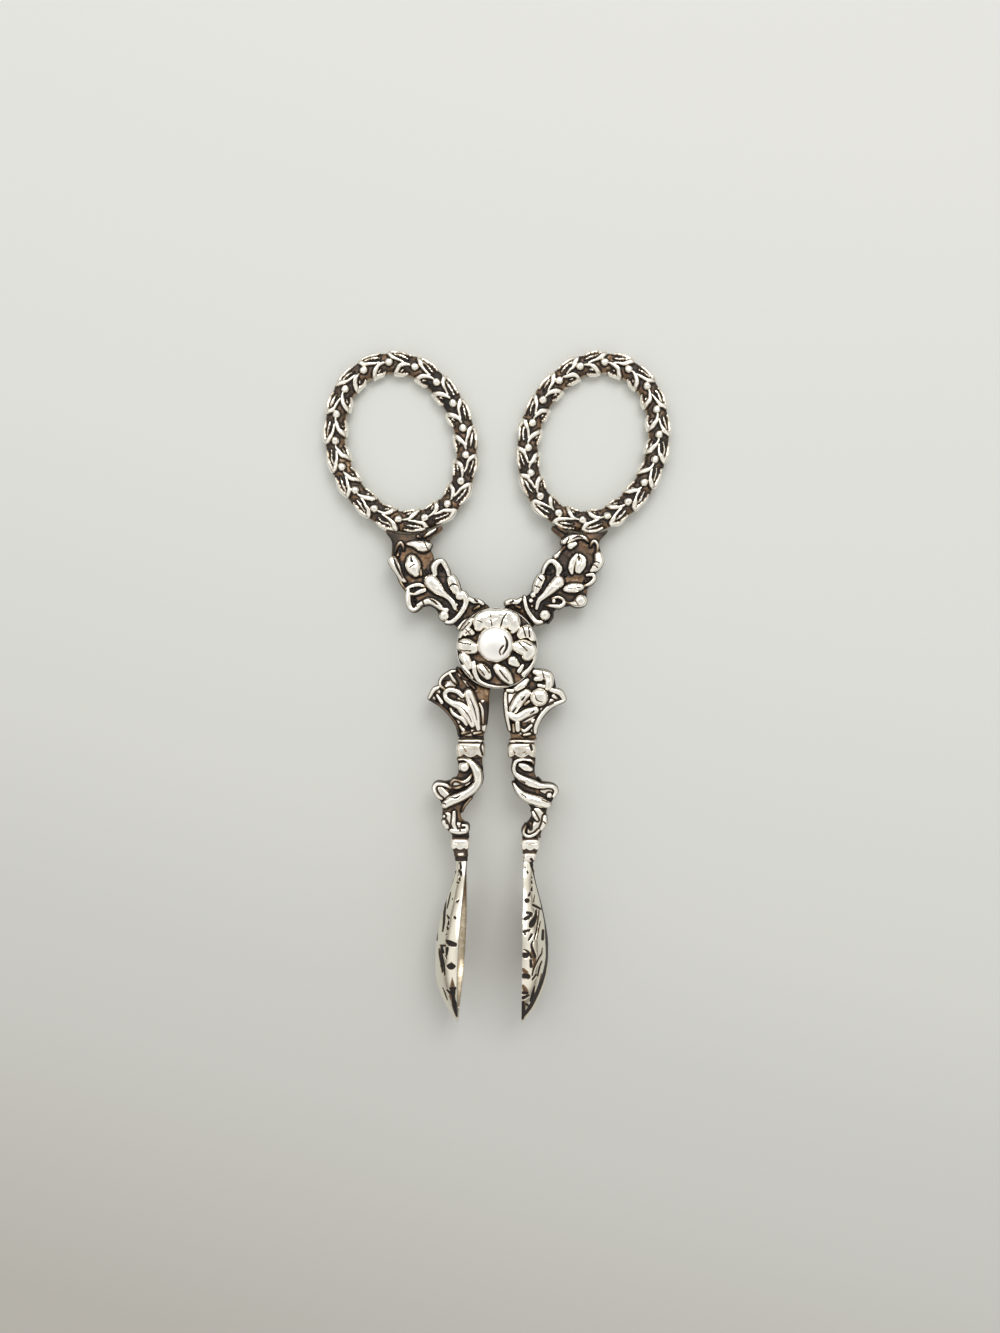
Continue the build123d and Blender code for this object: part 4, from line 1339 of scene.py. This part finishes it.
def bowl(name, side, lean_and_roll, carving, stains):
    """A pointed half shell, engraved outside, with a plain hollow that faces the other bowl."""
    step = cell * bowl_cells
    stations = np.linspace(0, 1, int(bowl_length / step))
    width = bowl_half_width * eased(stations, bowl_width_shares)
    depth = bowl_depth * eased(stations, bowl_depth_shares)
    hollow_length = bowl_length - bowl_heel - bowl_toe
    within = (stations * bowl_length - bowl_heel) / hollow_length
    open_here = (within > 0) & (within < 1)
    inner_width = np.where(open_here, bowl_half_width * eased(within, bowl_width_shares) - bowl_wall, 0)
    inner_depth = np.where(open_here, bowl_depth * eased(within, bowl_depth_shares) - bowl_wall, 0)
    inner_width = np.maximum(inner_width, bowl_least_hollow * width)
    inner_depth = np.maximum(inner_depth, 0)
    inner_width = np.minimum(inner_width, width - bowl_least_rim * np.minimum(width, bowl_wall))
    outer_angles = np.linspace(-math.pi / 2, math.pi / 2, int(math.pi * bowl_half_width / step))
    inner_angles = np.linspace(math.pi / 2, -math.pi / 2, len(outer_angles) // 2)
    y = -stations * bowl_length
    outer = np.stack([
        depth[:, None] * np.cos(outer_angles), np.repeat(y[:, None], len(outer_angles), 1),
        width[:, None] * np.sin(outer_angles),
    ], axis=-1)
    inner = np.stack([
        inner_depth[:, None] * np.cos(inner_angles), np.repeat(y[:, None], len(inner_angles), 1),
        inner_width[:, None] * np.sin(inner_angles),
    ], axis=-1)
    heel_half = bowl_depth_shares[0] * bowl_depth / 2
    offset = (ferrule_centre - heel_half - bowl_inset, -bowl_start, band_middle)
    splay, roll = (math.radians(angle) for angle in lean_and_roll)

    def placed(points):
        x, y, z = np.moveaxis(points, -1, 0)
        x, y = x * math.cos(splay) - y * math.sin(splay), x * math.sin(splay) + y * math.cos(splay)
        x, z = x * math.cos(roll) + z * math.sin(roll), -x * math.sin(roll) + z * math.cos(roll)
        return np.stack([x, y, z], axis=-1) + offset

    grid = placed(outer)
    flat = to_side(grid.reshape(-1, 3), side)
    grid = flat.reshape(grid.shape)
    along = np.gradient(grid, axis=0)
    around = np.gradient(grid, axis=1)
    normal = np.cross(around, along)
    normal /= np.maximum(np.linalg.norm(normal, axis=-1, keepdims=True), shortest_normal)
    middle = grid.mean(axis=(0, 1)) + (-side * bowl_inward, 0, 0)
    if (normal * (grid - middle)).sum() < 0:
        normal = -normal
    looked = seen(flat)
    carved = np.zeros(len(flat))
    for stroke in carving:
        cut = from_photo(stroke, 0) * (1, 1, bowl_stroke_gain)
        carved = np.maximum(carved, ridge_height(looked, cut, bowl_groove, bowl_groove_width))
    carved = carved.reshape(grid.shape[:2])
    grid = grid - normal * carved[..., None]
    stained = np.zeros(len(flat))
    for stroke in stains:
        stain = from_photo(stroke, 0)
        stained = np.maximum(stained, ridge_height(looked, stain, stain_patina, bowl_groove_width))
    hollow = to_side(placed(inner).reshape(-1, 3), side).reshape(inner.shape)
    points = np.concatenate([grid, hollow], axis=1)
    outer_shade = np.clip(carved / bowl_groove * bowl_groove_dark + stained.reshape(carved.shape), 0, 1)
    # The hollow is darker towards the heel
    near_heel = np.clip(1 - within / heel_share, 0, 1)
    inner_shade = np.repeat((hollow_patina + heel_darkening * near_heel)[:, None], hollow.shape[1], 1)
    shade = np.concatenate([outer_shade, inner_shade], axis=1)
    faces = tube_faces(*points.shape[:2], side)
    return make_piece(name, points.reshape(-1, 3), faces, shade.ravel(), bowl_silver)


def arms():
    """Every flat casting: name, the arm that carries it, outline, carving and what bounds it."""
    under_hub = between_rows(-collar_start - section_slack, 0)
    under_collar = between_rows(-ferrule_start - section_slack, -scroll_start)
    made = [
        ("left_leaf_panel", "front", left_panel_outline, left_panel, ring_inside),
        ("right_leaf_panel", "back", right_panel_outline, right_panel, ring_inside),
        ("right_shoulder_leaf", "front", right_shoulder_outline, right_shoulder, under_hub),
        ("left_shoulder_leaf", "back", left_shoulder_outline, left_shoulder, under_hub),
        ("right_scroll", "front", right_scroll_outline, right_scroll, under_collar),
        ("left_scroll", "back", left_scroll_outline, left_scroll, under_collar),
    ]
    for name, arm, outline, carving, bound in made:
        radii = arm_hub_cuts(arm == "front")
        piece = casting(name, outline, carving, [outside_circle(radii[0]), bound], arm_back_of(*radii))
        stand_for(piece, f"{arm}_arm", "silver", f"{arm}_{name.split('_', 1)[1]}")


def rings():
    """The two laurel rings."""
    left = finger_ring("left_laurel_ring", -1, left_berries, left_first_berry)
    stand_for(left, "front_arm", "silver", "front_finger_ring")
    right = finger_ring("right_laurel_ring", 1, right_berries, right_first_berry)
    stand_for(right, "back_arm", "silver", "back_finger_ring")


def boss():
    """The flower boss, and the rivet's head and tail."""
    def seat(points):
        return np.column_stack([points, np.full(len(points), rosette_seat)])
    cuts = [inside_circle(rosette_radius), outside_circle(rosette_hole)]
    piece = casting("flower_boss", rosette_outline, rosette_carving, cuts, seat)
    stand_for(piece, "front_arm", "silver", "rosette")
    dents = [from_photo(stroke) for stroke in dome_dents_with_dark_reflection]

    def dented(points):
        return np.max([ridge_height(points, dent, dome_dent, groove_width) for dent in dents], axis=0)
    profile = [
        (dome_radius * math.sin(t), dome_seat + dome_rise * max(math.cos(t), 0) ** dome_flatness,
         dome_edge_patina * math.sin(t) ** dome_edge_power)
        for t in np.linspace(0, math.pi / 2, dome_rows)
    ]
    dome = lathe("rivet_dome", profile, dome_segments, dented)
    stand_for(dome, "front_arm", "rivet_silver", "pivot_rivet")
    ball = (tail_radius**2 + tail_rise**2) / (2 * tail_rise)
    reach = math.asin(tail_radius / ball)
    profile = [
        (ball * math.sin(t * reach), tail_seat - tail_rise + ball * (1 - math.cos(t * reach)),
         tail_edge_patina * t**tail_edge_power)
        for t in np.linspace(0, 1, tail_rows)
    ]
    tail = lathe("rivet_tail", profile, tail_segments)
    stand_for(tail, "front_arm", "rivet_silver", "pivot_rivet")


# Along the band, share of its size, patina, scalloped
collar_profile = [
    (0.0, 0.84, 0.8, 0), (0.12, 0.86, 0.9, 0), (0.2, 0.93, 0.3, 0), (0.38, 0.97, 0.08, 0),
    (0.55, 0.94, 0.2, 0), (0.65, 0.88, 0.9, 0), (0.78, 0.89, 0.8, 0), (0.9, 0.96, 0.2, 0),
    (1.15, 1.0, 0.16, 0), (1.5, 1.02, 0.15, 0), (1.9, 1.02, 0.13, 0), (2.35, 1.0, 0.16, 1),
    (2.55, 0.96, 0.15, 1), (2.65, 0.84, 0.85, 1), (3.3, 0.8, 0.65, 0),
]
ferrule_profile = [
    (0.0, 0.84, 0.9, 0), (0.3, 0.86, 0.7, 0), (0.42, 0.93, 0.2, 0), (0.6, 1.0, 0, 0), (1.1, 1.03, 0, 0),
    (1.6, 1.0, 0, 1), (1.8, 0.94, 0.2, 1), (1.9, 0.84, 0.8, 1),
]
left_tip_profile = [
    (2.7, 0.9, 0.72, 0), (3.0, 0.96, 0.68, 0), (3.2, 1.02, 0.68, 0), (3.5, 0.92, 0.9, 0),
    (4.1, 0.96, 0.82, 0),
]
right_tip_profile = [
    (2.6, 0.88, 0.8, 0), (2.8, 0.94, 0.15, 0), (3.2, 1.02, 0, 0), (3.5, 0.98, 0.05, 0),
    (4.1, 0.96, 0.2, 0),
]
left_collar_dents = [
    [(483, 741.5, 0.5), (480.6, 747.5, 0.9), (482.6, 755, 0.9)],
    [(462, 746, 0.3), (466, 751.5, 0.4)],
    [(470, 742.8, 0.4), (478, 742.6, 0.5)],
]
right_collar_dents = [
    [(530.6, 745.6, 1.1), (532, 750, 1)],
    [(515.5, 742.4, 0.5), (523.5, 742.6, 0.7)],
    [(512.6, 750, 0.3), (515, 753.5, 0.5)],
    [(524, 751, 0.35), (526, 754, 0.35)],
]
left_ferrule_dents = [
    [(454, 843, 0.3), (459, 844.6, 0.4)],
]
# A painted highlight: the dark of the ferrule's tip taken off to bare silver
left_ferrule_painted_highlights = [
    [(458.6, 854.8, 0.9), (462.4, 854.6, 1.1)],
]
right_ferrule_dents = [
    [(530, 844.6, 0.4), (537, 843.6, 0.3)],
    [(531.4, 859.6, 1.0), (533, 862.4, 1.2)],
]


def collar_stations():
    """The collar's profile at its size."""
    return [
        (along, collar_centre, share * collar_half[0], share * collar_half[1], patina_and_shade, scalloped)
        for along, share, patina_and_shade, scalloped in collar_profile
    ]


def ferrule_stations(tip_profile):
    """The ferrule's profile, drawn in below its band to the bowl's narrow heel."""
    stations = []
    for along, share, patina_and_shade, scalloped in ferrule_profile + tip_profile:
        drawn = smooth_step(along, ferrule_drawn, tip_profile[-1][0])
        half = [share * (a + (b - a) * drawn) for a, b in zip(ferrule_half, ferrule_tip_half)]
        stations.append((along, ferrule_centre - drawn * bowl_inset, *half, patina_and_shade, scalloped))
    return stations


def bands():
    """The collars and the ferrules: name, arm, side, stations, start, scallop, dents and painted highlights.
    """
    left_tip, right_tip = ferrule_stations(left_tip_profile), ferrule_stations(right_tip_profile)
    made = [
        ("right_collar", "front", 1, collar_stations(), collar_start, collar_scallop, right_collar_dents, []),
        ("left_collar", "back", -1, collar_stations(), collar_start, collar_scallop, left_collar_dents, []),
        ("right_ferrule", "front", 1, right_tip, ferrule_start, ferrule_scallop, right_ferrule_dents, []),
        ("left_ferrule", "back", -1, left_tip, ferrule_start, ferrule_scallop, left_ferrule_dents,
         left_ferrule_painted_highlights),
    ]
    for name, arm, side, stations, start, scallop, dents, painted_highlights in made:
        piece = band_piece(name, stations, start, side, scallop, dents, painted_highlights)
        stand_for(piece, f"{arm}_arm", "silver", f"{arm}_{name.split('_')[1]}")


def bowls():
    """The two bowls."""
    right = bowl("right_bowl", 1, right_bowl_lean, right_bowl_carving, right_bowl_stains)
    stand_for(right, "front_arm", "bowl_silver", "front_bowl")
    left = bowl("left_bowl", -1, left_bowl_lean, left_bowl_carving, left_bowl_stains)
    stand_for(left, "back_arm", "bowl_silver", "back_bowl")


def hubs():
    """The two hubs stay as they are in the solids, in silver."""
    for node in ("front_hub", "back_hub"):
        frame["nodes"][node].data.materials.clear()
        frame["nodes"][node].data.materials.append(cast_silver)


def floor():
    """The pale table, its colour darker beyond the bowls: painted shade of the light falling off."""
    mesh = bpy.data.meshes.new("table_top")
    reach = floor_half * metre
    mesh.from_pydata([(-reach, -reach, 0), (reach, -reach, 0), (reach, reach, 0), (-reach, reach, 0)], [],
                     [(0, 1, 2, 3)])
    material = bpy.data.materials.new("pale_table_painted_falloff")
    material.use_nodes = True
    tree = material.node_tree
    shader = tree.nodes["Principled BSDF"]
    where = add(tree, "ShaderNodeTexCoord")
    down = add(tree, "ShaderNodeVectorMath", operation="DOT_PRODUCT")
    down.inputs[1].default_value = (-floor_slant / floor_fall, -1 / floor_fall, 0)
    tree.links.new(where.outputs["Object"], down.inputs[0])
    shift = add(tree, "ShaderNodeMath", operation="ADD")
    shift.inputs[1].default_value = floor_middle
    tree.links.new(down.outputs["Value"], shift.inputs[0])
    colour = add(tree, "ShaderNodeValToRGB")
    fill_ramp(colour, floor_shade_stops)
    tree.links.new(shift.outputs[0], colour.inputs["Fac"])
    tree.links.new(colour.outputs["Color"], shader.inputs["Base Color"])
    shader.inputs["Roughness"].default_value = floor_roughness
    shader.inputs["Specular IOR Level"].default_value = floor_gloss
    mesh.materials.append(material)
    top = bpy.data.objects.new("table_top", mesh)
    bpy.context.scene.collection.objects.link(top)


def light():
    """A pale room, brighter in the silver and to the camera than on the object, and two soft lamps."""
    world = bpy.data.worlds.new("soft_room")
    world.use_nodes = True
    bpy.context.scene.world = world
    tree = world.node_tree
    where = add(tree, "ShaderNodeTexCoord")
    split = add(tree, "ShaderNodeSeparateXYZ")
    tree.links.new(where.outputs["Generated"], split.inputs[0])
    sky = add(tree, "ShaderNodeValToRGB")
    fill_ramp(sky, room_stops)
    tree.links.new(split.outputs["Z"], sky.inputs["Fac"])
    tree.links.new(sky.outputs["Color"], tree.nodes["Background"].inputs["Color"])
    path = add(tree, "ShaderNodeLightPath")
    shown = path.outputs["Is Camera Ray"]
    for ray in ("Is Glossy Ray", "Is Transmission Ray"):
        either = add(tree, "ShaderNodeMath", operation="MAXIMUM")
        tree.links.new(shown, either.inputs[0])
        tree.links.new(path.outputs[ray], either.inputs[1])
        shown = either.outputs[0]
    strength = add(tree, "ShaderNodeMapRange")
    strength.inputs["To Min"].default_value = room_light
    strength.inputs["To Max"].default_value = room_shown
    tree.links.new(shown, strength.inputs["Value"])
    tree.links.new(strength.outputs[0], tree.nodes["Background"].inputs["Strength"])
    for number, (spot, size, power) in enumerate(lamps):
        data = bpy.data.lights.new(f"soft_lamp_{number}", "AREA")
        data.size = size * metre
        data.energy = power
        lamp = bpy.data.objects.new(f"soft_lamp_{number}", data)
        bpy.context.scene.collection.objects.link(lamp)
        lamp.location = Vector(spot) * metre
        lamp.rotation_euler = (-Vector(spot)).to_track_quat("-Z", "Y").to_euler()


def camera():
    """The photograph's view, straight down onto the arms."""
    data = bpy.data.cameras.new("camera")
    data.sensor_fit = "VERTICAL"
    data.sensor_height = camera_sensor
    data.lens = camera_lens
    data.clip_start = camera_near * metre
    eye = bpy.data.objects.new("camera", data)
    bpy.context.scene.collection.objects.link(eye)
    eye.location = Vector(place(camera_place))
    eye.rotation_euler = (lean, 0, 0)
    bpy.context.scene.camera = eye


camera()
arms()
rings()
boss()
bands()
bowls()
hubs()
floor()
light()
bpy.context.scene.view_settings.view_transform = "Standard"
